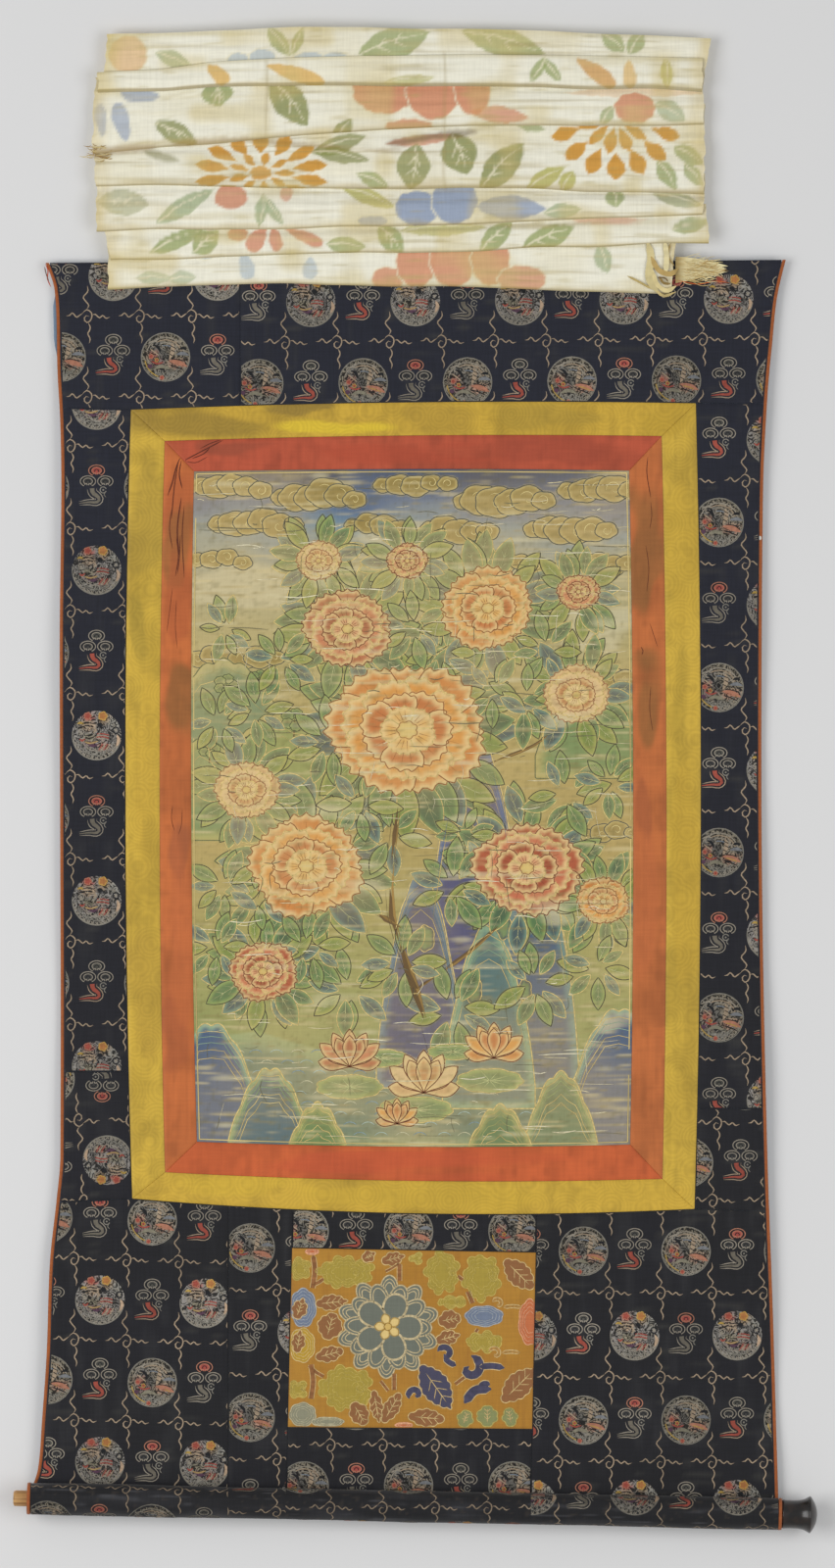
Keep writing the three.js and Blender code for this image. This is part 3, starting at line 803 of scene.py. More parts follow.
def beside(path, near, far):
    """A line beside a path, from one distance at its start to another at its end."""
    run = np.gradient(path, axis=0)
    out = np.column_stack((-run[:, 1], run[:, 0])) / np.hypot(*run.T)[:, None]
    return path + out * np.linspace(near, far, len(path))[:, None]


def cloud(head, ring_code, tail, tail_edge):
    """A three-headed cloud with a body that swings to a tail at the left."""
    body = bend([(-4.4, -0.6), (-3.6, -5), (0.6, -8.2), (2.8, -11.4), (0, -14.2), (-7, -14), (-17, -15.2)])
    return [
        *cloud_head((-8.4, 6.2), 15.5, SLATE, PALE),
        *cloud_head((8.4, 6.2), 15.5, SLATE, PALE),
        *cloud_head((0, 16.6), 16.0, head, ring_code),
        stroke(body, 4.6, tail, 2, "tail"),
        stroke(beside(body, 4.7, 1.7), 0.9, tail_edge, 4, "point"),
        stroke(beside(body, -4.7, -1.7), 0.9, tail_edge, 4, "point"),
        stroke(arc(3.0, 20, 340, (6.4, -2.2)), 1.0, GREY, 3),
        disc((6.4, -2.2), 1.8, 1.8, GREY, 5),
        stroke(bend([(8.6, -3.8), (7.4, -7), (9.2, -9.4)]), 0.8, GREY, 4, "point"),
    ]


def squiggles(seed, count, radius):
    """Small curls of several colours that fill a roundel."""
    rng = np.random.default_rng(seed)
    codes = [PALE, DARK, TAN, DARK, PALE, SLATE, PALE]
    made = []
    for number in range(count):
        reach = radius * math.sqrt(rng.uniform(0.02, 1))
        angle = rng.uniform(0, 2 * math.pi)
        centre = (reach * math.cos(angle), reach * math.sin(angle))
        path = curl(centre, rng.uniform(1.2, 2.4), rng.uniform(0, 360), rng.uniform(0.5, 0.9))
        made.append(stroke(path, rng.uniform(0.6, 1.0), codes[number % len(codes)], 3 + number % 3))
    return made


def scales(radius, start, end, code):
    """A row of small scalloped arcs along the rim."""
    made = []
    for angle in np.arange(start, end, 26 * 9 / radius):
        made.append(stroke(arc(3.0, angle - 90, angle + 90, polar(angle, radius)), 0.8, code, 6))
    return made


def blossom(centre, width, petal, heart):
    """A small rosette of thread."""
    made = [disc(centre, width, width, petal, 7)]
    for angle in range(0, 360, 72):
        place = np.array(centre) + polar(angle, 0.34 * width)
        made.append(stroke(arc(width * 0.17, angle - 110, angle + 110, place), 0.7, heart, 8))
    return made


def roundel_ground(zones, base):
    """The close ground of a roundel: rings of thread that change colour from zone to zone."""
    made = []
    for radius in (2, 6, 10, 14, 18, 22):
        for start in (0, 180):
            points, half, colour, lift = stroke(arc(radius, start, start + 180), 4.2, base)
            for centre, size, code, strength in zones:
                gap = np.hypot((points[:, 0] - centre[0]) / size[0], (points[:, 1] - centre[1]) / size[1])
                share = strength * (1 - smoothstep(gap, 0.55, 1.1))[:, None]
                colour = colour * (1 - share) + linear(code) * share
            made.append((points, half, colour, lift))
    return made


# Zones of the roundels: middle, reach across and up, colour, strength
BIRD_ZONES = [
    ((8, 10), (9, 8), "#83796a", 0.8), ((-10, 12), (9, 8), "#5d5b57", 0.9),
    ((12, -6), (11, 6), "#94705f", 0.8), ((-8, -6), (9, 6), "#6d5a58", 0.8),
    ((-12, 2), (7, 5), "#8a5148", 0.6), ((-2, 2), (6, 6), "#4b4a48", 0.8),
    ((0, -18), (16, 6), "#6f6d67", 0.8),
]
FLOWER_ZONES = [
    ((-8, 17), (7, 5), "#8f4a40", 0.8), ((7, 16), (7, 5), "#8c7250", 0.8),
    ((-8, 9), (9, 6), "#94806a", 0.9), ((3.5, 10), (4.5, 4), "#2c2b2c", 0.95),
    ((17, 12), (7, 7), "#7c7a72", 0.8), ((-7, -2), (9, 5), "#77705c", 0.8),
    ((6, -1), (8, 4), "#86605a", 0.8), ((-6, -8), (8, 3.4), "#5a3d47", 0.9),
    ((7, -11), (7, 5), "#8f6c5c", 0.8), ((-13, 4), (5, 4), "#3c3b3a", 0.7),
    ((0, -19), (18, 6), "#757168", 0.9), ((14, -3), (4, 5), "#34322f", 0.7),
]
BIRD_GROUND = roundel_ground(BIRD_ZONES, "#6e6759")
FLOWER_GROUND = roundel_ground(FLOWER_ZONES, "#74706b")


def bird_roundel():
    """A round medallion with ringed arcs above, a body with wings, and waves below."""
    made = squiggles(5, 26, 21)
    for start in (-30, 50, 130):
        made.append(stroke(arc(23.4, start, start + 80), 1.0, GREY, 6))
    for angle in range(-20, 205, 15):
        made.append(disc(polar(angle, 21.2), 1.7, 1.7, DARK, 7))
    for radius, start, end, code in [
        (19.0, 15, 165, PALE), (16.6, 20, 120, TAN), (13.8, 25, 110, PALE), (11.2, 30, 105, BLUE),
    ]:
        made.append(stroke(arc(radius, start, end), 0.9, code, 7))
    feathers = [
        ([(6, 14), (7, 6), (3.6, -2.4)], 4.4, TAN, "leaf"),
        ([(10, 2.4), (17, 3.4), (23, 1.6)], 3.4, "#76787b", "leaf"),
        ([(13, 7.4), (17, 8.6), (20.4, 7)], 2.6, DARK, "leaf"),
        ([(3, -3.6), (12, -5.4), (21.5, -9.4)], 5.0, PINK, "leaf"),
        ([(6, -5), (12, -6.6), (18, -9)], 1.0, GOLD, "point"),
        ([(4, -7.6), (11, -9.8), (18, -13)], 1.1, DARK, "point"),
        ([(5, -1.6), (12, -2.6), (19, -4)], 1.0, DARK, "point"),
        ([(-12, -12), (-4, -9), (5, -12)], 3.4, "#807b69", "leaf"),
        ([(-12, 12), (-7, 9), (-5, 4)], 2.6, DARK, "leaf"),
        ([(-15, 8), (-11, 5), (-6, 1)], 1.2, TAN, "point"),
        ([(-17, 13), (-12, 15.4), (-7, 14)], 1.2, PALE, "point"),
        ([(-14, -4), (-8, -6.4), (-2, -5)], 1.4, RED, "point"),
    ]
    for points, width, code, profile in feathers:
        made.append(stroke(bend(points), width, code, 8, profile))
    for points in ([(4.6, 11), (8.8, 9)], [(5.4, 7), (9, 5)], [(3.6, 3), (7.4, 1)]):
        made.append(stroke(points, 0.8, DARK, 9))
    made += blossom((-14, 0.6), 4.6, RED, PINK)
    made += blossom((-8.6, -3), 3.8, RED, GOLD)
    made += blossom((-3.6, -20), 4.2, RED, PINK)
    made.append(disc((-15.4, -9), 4.8, 4.2, PLUM, 8))
    made.append(stroke(arc(20.2, 190, 250), 1.1, GOLD, 8))
    made += scales(19.2, 255, 345, PALE)
    made += scales(15.0, 240, 340, GREY)
    for start in (205, 270):
        made.append(stroke(arc(23.4, start, start + 65), 0.9, GREY, 8))
    return made


def flower_roundel():
    """A round medallion with two flowers above, combed red threads, and scalloped waves below."""
    made = squiggles(9, 30, 21)
    made += blossom((-8.6, 19), 7.2, RED, PINK)
    made += blossom((6, 19), 8.6, "#a8703f", "#b99a4c")
    made.append(disc((3.2, 10.6), 5.0, 3.8, DARK, 7))
    threads = [
        ([(-19, 11), (-16, 12.4), (-12, 11)], 2.2, GOLD, "leaf"),
        ([(-18, 7.6), (-14, 8.4), (-10, 7)], 1.2, DARK, "point"),
        ([(19.6, 1), (21.4, -4.6), (19, -11)], 3.4, "#b49a80", "leaf"),
        ([(-17, -3), (-14, -5), (-11, -2.6)], 1.8, RED, "leaf"),
        ([(-12, -6), (-6, -7.4), (1.6, -5.4)], 1.5, "#a58a5c", "point"),
        ([(-8, -9), (-3.6, -10), (1.6, -8.4)], 2.4, PLUM, "leaf"),
        ([(-4, 9.6), (-0.6, 4.4), (-5, 3)], 1.6, TAN, "leaf"),
    ]
    for points, width, code, profile in threads:
        made.append(stroke(bend(points), width, code, 8, profile))
    for step in range(5):
        down = 1.5 * step
        comb = bend([(-14, 13 - down), (-9, 14 - down), (-3, 13 - down)])
        made.append(stroke(comb, 0.8, (TAN, DARK)[step % 2], 8))
    for step in range(4):
        down = 1.5 * step
        aside = 2.4 * step
        comb = bend([(0, 1.6 - down), (6, 1.8 - down), (12, 0.4 - down)])
        made.append(stroke(comb, 0.9, (RED, PALE)[step % 2], 8))
        made.append(stroke([(2 + aside, -14), (6 + aside, -8)], 0.9, (RED, TAN)[step % 2], 8))
        made.append(stroke([(-6 + aside, -0.6), (-3 + aside, 4.6)], 0.8, (DARK, PALE)[step % 2], 9))
    made.append(stroke(arc(3.0, 0, 360, (18.6, 5.2)), 1.2, DARK, 8))
    made.append(disc((18.6, 5.2), 2.6, 2.6, PALE, 9))
    made.append(stroke(curl((-14.4, 3.6), 3.2, 40, 1.4), 0.9, PALE, 8))
    made += scales(20.2, 195, 345, PALE)
    made += scales(16.2, 205, 335, GREY)
    made += scales(12.2, 215, 300, PALE)
    for start, end in ((170, 260), (260, 350)):
        made.append(stroke(arc(23.6, start, end), 0.9, GREY, 8))
    return made


# The repeat: its width and height, and its strokes
CELL = (50.6, 78.4)
CROSSING = lattice_crossing()
CLOUDS = [cloud("#4c4b45", PALE, "#9a4a3c", TAN), cloud("#a04a42", PINK, "#6c665a", PALE)]
ROUNDELS = [flower_roundel(), bird_roundel()]
GROUNDS = [FLOWER_GROUND, BIRD_GROUND]


def brocade_cells(anchor, lean, pitch, swap, box, bright=1.0):
    """The strokes of every repeat that reaches into a box, counted from one lattice crossing: the
    grounds of the roundels, and all the threads on top."""
    low, high = box
    rise, drift = lean
    rng = np.random.default_rng(17)
    grounds = []
    threads = []
    for j in range(-16, 17):
        for i in range(-16, 17):
            u = anchor[0] + i * pitch[0] + j * drift
            v = anchor[1] + j * pitch[1] + i * rise
            if u < low[0] - 60 or u > high[0] + 30 or v < low[1] - 80 or v > high[1] + 40:
                continue
            worn = bright * rng.uniform(0.8, 1.04)
            threads += moved(CROSSING, u, v, worn)
            middle = (u + (pitch[0] + drift) / 2, v + (pitch[1] + rise) / 2)
            if (i + j) % 2:
                threads += moved(CLOUDS[((i - j) // 2 + swap) % 2], *middle, worn)
            else:
                grounds += moved(GROUNDS[j % 2], *middle, worn)
                threads += moved(ROUNDELS[j % 2], *middle, worn)
    return grounds, threads


def upside_down(strokes, about):
    """The same strokes turned half a turn about a point."""
    return [(2 * about - points, half, colour, lift) for points, half, colour, lift in strokes]


# Cuts of brocade: their four edges, the lattice crossing that the repeat is counted from (photo
# column and row), the rise along a row and the drift up a column per repeat, the repeat's width and
# height, which cloud comes first, and whether the cut was sewn in upside down
left_seam = straight(SIDE_SEAM_LEFT)
right_seam = straight(SIDE_SEAM_RIGHT)
top_seam = straight(TOP_SEAM_X)
column_seam = straight(FOOT_SEAM_X)
BROCADE_CUTS = [
    ("top_left", (bound_left, top_seam, top_edge, head_seam),
     (89, 323), (0, 0), CELL, 0, False),
    ("top", (top_seam, bound_right, top_edge, head_seam),
     (290.7, 350), (0.4, 0), CELL, 0, False),
    ("side_left", (bound_left, yellow["left"], head_seam, left_seam),
     (72, 455.5), (0, 0), (50.6, 80.1), 1, False),
    ("side_left_lower", (bound_left, yellow["left"], left_seam, foot_seam),
     (133.7, 1142.4), (0, -5.1), (50.6, 78.5), 1, True),
    ("side_right", (yellow["right"], bound_right, head_seam, right_seam),
     (760.4, 491), (0, 0), (50.6, 80.0), 1, False),
    ("side_right_lower", (yellow["right"], bound_right, right_seam, foot_seam),
     (731.4, 1146.7), (0, 4.2), (50.6, 74.8), 0, False),
    ("bottom_left", (bound_left, column_seam, foot_seam, roll_line),
     (75.5, 1367), (-1.6, 0), CELL, 0, False),
    ("bottom_left_inner", (column_seam, door_left, foot_seam, roll_line),
     (282, 1403), (0, 0), (50.6, 82.0), 0, False),
    ("above_door", (door_left, door_right, foot_seam, door_top),
     (337, 1215), (0, 0), CELL, 0, False),
    ("below_door", (door_left, door_right, door_bottom, roll_line),
     (337, 1475), (0, 0), CELL, 1, False),
    ("bottom_right", (door_right, bound_right, foot_seam, roll_line),
     (621.5, 1406), (0, 0), (49.7, 81.9), 1, False),
]


def satin_dye(x, z):
    """Blue-black silk, rubbed paler on the crumples and browned towards the foot."""
    canvas = Canvas(x, z, "#1b1b1e")
    canvas.wash(0.5 + 0.5 * mottle(x, z, (60, 80), 21), "#1c1c22")
    canvas.wash(smoothstep(z, -900, -120), "#1f212c")
    worn_patches(canvas, x, z, [
        (0.4, (9, 30), 22, 0.2, 0.9, "#303032"), (0.5, (24, 4), 23, 0.55, 0.95, "#3a3936"),
    ])
    return canvas.colour


for cut, edges, anchor, lean, pitch, swap, turned_over in BROCADE_CUTS:
    name = "brocade_" + cut
    mesh, x, z, flat = cloth(name + "_satin", edges, SATIN_STEP)
    tint(mesh, "dye", satin_dye(x, z))
    satin = fit(name + "_satin", mesh, BROCADE, "brocade", name)
    start = spot(*anchor)
    corners = np.array([(x.min(), z.min()), (x.max(), z.max())])
    box = 2 * start - corners[::-1] if turned_over else corners
    grounds, threads = brocade_cells(start, lean, pitch, swap, box)
    if turned_over:
        grounds = upside_down(grounds, start)
        threads = upside_down(threads, start)
    place = laid_on(edges)
    looped = fit(name + "_roundels", ribbons(name + "_roundels", grounds, place), LOOPED_WEFTS, "brocade")
    wefts = fit(name + "_wefts", ribbons(name + "_wefts", threads, place), WEFTS, "brocade")


# Painted cloth: a peony tree beside a standing rock and a pond, measured from its lower left corner
class Picture(Canvas):
    """A canvas that also keeps the lines on its shapes, and hides what later shapes cover."""

    def __init__(self, x, z, ground):
        super().__init__(x, z, ground)
        self.shapes = []
        self.lines = []

    def line(self, path, width, code, lift=2, profile="even"):
        self.lines.append((len(self.shapes), stroke(path, width, code, lift, profile)))

    def form(self, outline, core, rim, depth, edge=None, width=0.8, soft=0.9):
        """A filled shape with a line round it."""
        self.shape(outline, core, rim, depth, soft)
        self.shapes.append(outline)
        if edge:
            self.lines += [(len(self.shapes), item) for item in outlined(outline, width, edge, 2)]

    def seen(self):
        """The lines, without width where a later shape covers them."""
        low = np.array([outline.min(0) for outline in self.shapes])
        high = np.array([outline.max(0) for outline in self.shapes])
        made = []
        for order, (points, half, colour, lift) in self.lines:
            meets = (low[order:] <= points.max(0)) & (high[order:] >= points.min(0))
            half = half.copy()
            for number in np.flatnonzero(meets.all(1)) + order:
                half[reach_inside(points[:, 0], points[:, 1], self.shapes[number]) > 0] = 0
            made.append((points, half, colour, lift))
        return made


PAINTING_CORNER = (-214.0, -856.0)
painting_edges = tuple(painting[side] for side in ("left", "right", "top", "bottom"))
mesh, x, z, painting_flat = cloth("painted_cloth", painting_edges, PAINTING_STEP)
art = Picture(x - PAINTING_CORNER[0], z - PAINTING_CORNER[1], "#b2a279")
INK = "#2b3030"
GILT = "#d6bd78"
PETAL_RIM = "#e6c88c"
rng = np.random.default_rng(41)

# Ground from the foot to the sky: height in the picture and the colour there
GROUND_TONES = [
    (0, "#6c8454"), (70, "#7f9058"), (170, "#97995c"), (300, "#ab965a"), (420, "#ad9c60"), (500, "#aca373"),
    (560, "#a0a288"), (596, "#6a8a9c"), (622, "#34608c"), (654, "#16395f"),
]
tone_heights = [height for height, _ in GROUND_TONES]
tone_colours = np.array([linear(code) for _, code in GROUND_TONES])
for band in range(3):
    ragged = art.z + 14 * mottle(art.x, art.z, (40, 22), 31)
    art.colour[:, band] = np.interp(ragged, tone_heights, tone_colours[:, band])
for u, v, width, height in [(60, 540, 170, 46), (330, 548, 150, 40), (220, 590, 120, 30), (390, 500, 90, 50)]:
    art.patch((u, v), (width, height), "#cfc8a6", 0.6, 0.5)

# Clouds: middle, width and height
CLOUD_BANKS = [
    (36, 636, 70, 18), (120, 626, 84, 22), (214, 638, 78, 16), (300, 622, 92, 24), (392, 632, 74, 20),
    (60, 600, 86, 20), (176, 598, 60, 16), (256, 594, 70, 18), (364, 594, 84, 20), (24, 566, 60, 16),
    (118, 566, 64, 14), (398, 560, 56, 16), (308, 560, 62, 14), (40, 470, 90, 20), (386, 452, 78, 18),
    (24, 330, 60, 16), (402, 300, 56, 14),
]
for u, v, width, height in CLOUD_BANKS:
    heads = max(4, round(width / 15))
    for number in range(heads):
        share = (number + 0.5) / heads
        size = height * (0.7 + 0.6 * math.sin(math.pi * share)) * rng.uniform(0.85, 1.15)
        head = (u + (share - 0.5) * width, v + rng.uniform(-3, 3) + 3 * math.sin(math.pi * share))
        puff = lobes(head, size * 1.35, size, 5, 0.1, rng.uniform(0, 90))
        art.form(puff, "#8d7a40", "#c6b473", 3.4, "#3f4a4c", 0.8)
        art.line(curl(head, size * 0.3, rng.uniform(0, 180), 1.1), 0.7, "#dccb8c", 2, "point")


# Points along a hill's crest, and how far its outline runs on below its foot
CREST_POINTS = 41
BELOW_FOOT = 25


def hill(left, right, foot, top, bumps):
    """Outline of a rounded hill with a scalloped crest."""
    t = np.linspace(0, 1, CREST_POINTS)
    crest = foot + (top - foot) * np.sin(math.pi * t) ** 0.8 + 5 * np.abs(np.sin(bumps * math.pi * t)) - 3
    across = left + (right - left) * t
    base = 0 * t + foot - BELOW_FOOT
    return np.column_stack((np.concatenate((across, across[::-1])), np.concatenate((crest, base))))


def slopes(rows, depth, edge, width, drops):
    """Hills or rocks from the back to the front, with lines below their crests."""
    for left, right, foot, top, core, rim in rows:
        outline = hill(left, right, foot, top, 3 + round((right - left) / 34))
        art.form(outline, core, rim, depth, edge, width)
        crest = outline[4:CREST_POINTS - 4]
        for drop in drops:
            art.line(crest - (0, drop), 0.6, (rim, GILT)[drop % 2], 2, "point")


# Far hills: left end, right end, foot, top, core and rim colours
slopes([
    (-40, 96, 390, 470, "#5f8262", "#b0ab72"), (330, 470, 380, 440, "#6c8a58", "#b3a868"),
    (20, 150, 350, 420, "#7f9152", "#b8a866"), (-60, 70, 320, 392, "#5c8558", "#a4a562"),
], 14.0, "#4f5f42", 0.8, (8, 17, 26))

# Small trees on the hills: middle and width
for u, v, width in [
    (30, 446, 22), (62, 452, 18), (96, 412, 24), (124, 404, 18), (14, 384, 20), (44, 376, 22), (400, 430, 24),
]:
    art.line([(u, v - width * 0.7), (u + 1, v)], 1.2, "#6b5638", 2)
    for step in range(5):
        angle = 2 * math.pi * step / 5
        head = (u + width * 0.3 * math.cos(angle), v + width * 0.26 * math.sin(angle))
        crown = lobes(head, width * 0.55, width * 0.45, 7, 0.18)
        art.form(crown, "#3f6a48", "#87a05c", 3.0, "#2c4434", 0.6)

# Pond at the foot, with waves
POND = [(-10, -10), (434, -10), (434, 96), (330, 84), (230, 104), (120, 92), (60, 110), (-10, 100)]
art.form(np.array(POND, float), "#55766a", "#90a474", 26.0)
for row in range(9):
    for number in range(22):
        u = 20 * number + (row % 2) * 10 + rng.uniform(-2, 2)
        wavelet = arc(8, 35, 145, (u, 4 + 10 * row))
        art.line(wavelet, 0.6, ("#a9bfb6", "#cfcba6", "#7a98a8")[(row + number) % 3], 1, "point")

# Standing rock behind the peonies: left end, right end, foot, top, core and rim colours
slopes([
    (214, 330, 90, 400, "#2c3d74", "#4f6a92"), (286, 372, 80, 300, "#2f5476", "#6f928c"),
    (176, 262, 80, 262, "#2a3f70", "#5f7f90"), (240, 330, 60, 214, "#3d6a70", "#86a886"),
], 12.0, GILT, 1.0, (7, 14, 22, 31))
for u, v, width in [(262, 300, 20), (300, 210, 16), (224, 200, 18), (320, 150, 14), (270, 150, 18)]:
    art.form(lobes((u, v), width, width * 1.5, 5, 0.16), "#6f8a5c", "#20304e", 4.0, GILT, 0.8)

# Branches: points from the root outwards, width
BRANCHES = [
    ([(236, 70), (214, 150), (190, 230), (196, 320), (206, 380)], 11),
    ([(200, 210), (150, 240), (110, 262)], 7), ([(194, 300), (240, 350), (292, 372)], 6),
    ([(204, 372), (180, 430), (150, 480)], 6), ([(206, 384), (250, 440), (276, 500)], 6),
    ([(150, 480), (128, 520), (120, 556)], 3.6), ([(110, 262), (70, 296), (52, 330)], 4),
    ([(292, 372), (336, 392), (366, 430)], 4), ([(214, 150), (270, 190), (318, 236)], 6),
    ([(150, 240), (100, 200), (70, 170)], 4), ([(318, 236), (360, 250), (392, 240)], 3.6),
]
for points, width in BRANCHES:
    path = bend(points)
    art.line(path, width, "#63492a", 1, "tip")
    art.line(path + (width * 0.22, 0), width * 0.35, "#94743c", 2, "tip")
    art.line(path - (width * 0.4, 0), 0.7, "#4c3d2a", 2, "tip")

# Petal colours from the outside in, then the colour of the petal lines
ORANGE = ("#c9742c", "#d88f3c", "#bd5f28", "#dca656", "#93552c")
CORAL = ("#a8422e", "#c2654a", "#9c3626", "#d0906a", "#7c3326")
BLUSH = ("#c99f6e", "#d8b888", "#bd8352", "#e2c890", "#a06a48")

# Peonies: middle, width, colours
PEONIES = [
    (206, 402, 150, ORANGE), (108, 270, 112, ORANGE), (322, 268, 104, CORAL), (148, 500, 84, CORAL),
    (284, 520, 90, ORANGE), (370, 436, 66, BLUSH), (50, 344, 62, BLUSH), (120, 566, 44, BLUSH),
    (66, 168, 66, CORAL), (396, 236, 52, ORANGE), (206, 566, 40, CORAL), (372, 536, 40, CORAL),
]
LEAF_TONES = [("#3f7048", "#8aa45c"), ("#2c5a44", "#6f9460"), ("#69843f", "#a5a85a"), ("#274f5c", "#6a9080")]


def leaf_spray(u, v, reach, count, length):
    """Leaves that stand out all round a place."""
    for number in range(count):
        turn = 360 * number / count + rng.uniform(-14, 14)
        foot = (u, v) + reach * heading(turn)
        size = length * rng.uniform(0.8, 1.2)
        outline = leaf(foot, turn + rng.uniform(-24, 24), size, size * 0.44, 0.5)
        core, rim = LEAF_TONES[number % len(LEAF_TONES)]
        art.form(outline, core, rim, 5.0, (INK, GILT)[number % 2], 0.8)
        run = outline[LEAF_TIP] - foot
        art.line([foot, foot + 0.9 * run], 0.7, "#c2c08a", 2, "tail")
        for share in (0.3, 0.55):
            rib = foot + share * run
            for side in (-1, 1):
                lean = math.radians(turn) + side * 0.6
                tip = rib + 0.2 * size * np.array([math.sin(lean), math.cos(lean)])
                art.line([rib, tip], 0.5, "#b9bb86", 2, "tail")


def frilled(centre, turn, length, width):
    """Outline of a broad petal with a frilled end."""
    t = np.linspace(-1, 1, 17)
    reach = length * (1 - 0.22 * t ** 4 + 0.05 * np.cos(5 * math.pi * t))
    angle = math.radians(turn) + t * width
    outer = np.column_stack((centre[0] + reach * np.sin(angle), centre[1] + 0.86 * reach * np.cos(angle)))
    return np.vstack((centre, outer))


def peony(u, v, width, petals):
    """A full flower: four rings of frilled petals round a gilt heart."""
    ink = petals[4]
    for ring, (reach, count) in enumerate([(0.5, 9), (0.4, 8), (0.29, 7), (0.18, 5)]):
        turns = np.arange(count) * 360 / count + 17 * ring
        for turn in turns[::2].tolist() + turns[1::2].tolist():
            size = width * reach * rng.uniform(0.92, 1.06)
            outline = frilled((u, v), turn, size, 0.52 + 0.06 * ring)
            art.form(outline, petals[ring], PETAL_RIM, 0.055 * width, (ink, GILT)[ring % 2], 0.85)
            for lean in (-0.25, 0, 0.25):
                angle = math.radians(turn) + lean
                away = np.array([math.sin(angle), 0.86 * math.cos(angle)]) * size
                art.line([(u, v) + 0.45 * away, (u, v) + 0.85 * away], 0.5, ink, 2, "tail")
    art.form(lobes((u, v), width * 0.14, width * 0.12, 7, 0.2), "#d9bd74", "#c09a4c", 2.0, ink, 0.6)


for u, v, width, _ in PEONIES:
    leaf_spray(u, v, width * 0.42, round(8 + width / 9), 24 + width * 0.12)
    leaf_spray(u, v, width * 0.3, round(7 + width / 12), 22 + width * 0.22)
for u, v, reach, count, length in [
    (250, 130, 12, 9, 36), (150, 150, 10, 9, 34), (360, 340, 10, 8, 32), (240, 476, 8, 8, 30),
    (60, 240, 8, 8, 28), (340, 480, 8, 7, 26), (190, 300, 8, 7, 30), (130, 390, 10, 9, 34),
    (262, 300, 6, 7, 26), (390, 170, 8, 8, 28), (24, 410, 8, 9, 26), (60, 420, 8, 9, 28),
    (84, 470, 8, 9, 28), (30, 500, 6, 8, 24), (402, 350, 8, 9, 26), (200, 176, 10, 9, 32),
    (28, 250, 8, 9, 28), (20, 190, 8, 8, 26), (330, 156, 10, 9, 32), (110, 190, 10, 9, 30),
    (212, 500, 8, 9, 28), (320, 430, 10, 9, 32), (290, 440, 8, 8, 28), (160, 330, 8, 8, 30),
    (250, 250, 10, 9, 34),
]:
    leaf_spray(u, v, reach, count, length)
for flower in PEONIES:
    peony(*flower)

# Near rocks and lotus on the pond: left end, right end, foot, top, core and rim colours
slopes([
    (-40, 72, 0, 118, "#33567c", "#8fb090"), (30, 116, -8, 74, "#2f5f72", "#90ab74"),
    (352, 470, 0, 132, "#33567c", "#8cab92"), (318, 392, -6, 70, "#3f7058", "#a0ac70"),
    (88, 150, -14, 40, "#4f7c4c", "#a9ab66"), (262, 330, -14, 38, "#4a7650", "#a6a868"),
], 8.0, GILT, 1.1, (5, 10, 16, 23, 31))
for u, v, width, height, notch in [
    (150, 56, 66, 24, 20), (214, 34, 74, 26, -30), (286, 62, 66, 24, 15), (180, 84, 54, 18, 10),
    (250, 90, 50, 16, -20),
]:
    outline = lobes((u, v), width, height, 9, 0.08, notch)
    art.form(outline, "#427a52", "#93aa62", 6.0, GILT, 0.8)
    for angle in range(0, 360, 36):
        tip = 0.44 * (polar(angle, 1) * (width, height))
        art.line([(u, v), (u, v) + tip], 0.6, "#c6c88c", 2, "tail")
for u, v, height, petals in [
    (150, 84, 44, CORAL), (222, 60, 50, BLUSH), (290, 92, 42, ORANGE), (196, 26, 30, ORANGE),
]:
    for count, spread, reach, tone in [(7, 80, 0.7, 0), (5, 52, 0.84, 1), (3, 24, 0.7, 2)]:
        for turn in sorted(np.linspace(-spread, spread, count), key=abs, reverse=True):
            petal = leaf((u, v - height * 0.2), turn, height * reach, height * 0.3, 0.62)
            art.form(petal, petals[tone], PETAL_RIM, height * 0.1, "#6d2f20", 0.8)

# Wear: paint lost in level lines, pale scratches and cracks from rolling, a tan bloom of dirt
worn_patches(art, x, z, [
    (0.6, (34, 1.9), 51, 0.45, 0.95, "#cfc294"), (0.4, (60, 3.4), 54, 0.45, 0.95, "#c2b27e"),
    (0.5, (14, 1.6), 55, 0.45, 0.95, "#7f7548"),
])
art.wash(0.25 + 0.18 * mottle(x, z, (70, 50), 52), "#dcc084")
worn_patches(art, x, z, [
    (0.3, (4, 3), 53, 0.2, 1.0, "#6a6238"), (0.6, (46, 9), 56, 0.6, 0.98, "#d6cba2"),
])
SCRATCHES = 330
CRACKS = 60
DIRT = linear("#b59e66")
DIRT_SHARE = 0.12
scratches = []
for _ in range(SCRATCHES):
    start = np.array([rng.uniform(2, 412), rng.uniform(8, 646)])
    reach = rng.uniform(6, 64) * rng.uniform(0.3, 1)
    path = bend([start, start + (reach / 2, rng.uniform(-1.2, 1.2)), start + (reach, rng.uniform(-2, 2))])
    code = ("#e0d8b8", "#cfc39a", "#d8cda8", "#6f6a50")[int(start[0]) % 4]
    scratches.append(stroke(path, rng.uniform(0.35, 0.9), code, 5, "point"))
for _ in range(CRACKS):
    start = np.array([rng.uniform(10, 410), rng.uniform(20, 640)])
    middle = start + (rng.uniform(-3, 3), -rng.uniform(4, 10))
    end = start + (rng.uniform(-5, 5), -rng.uniform(12, 30))
    code = ("#d8cda8", "#6f6a50")[int(start[0]) % 2]
    scratches.append(stroke(bend([start, middle, end]), rng.uniform(0.3, 0.6), code, 5, "point"))
tint(mesh, "paint", art.colour)
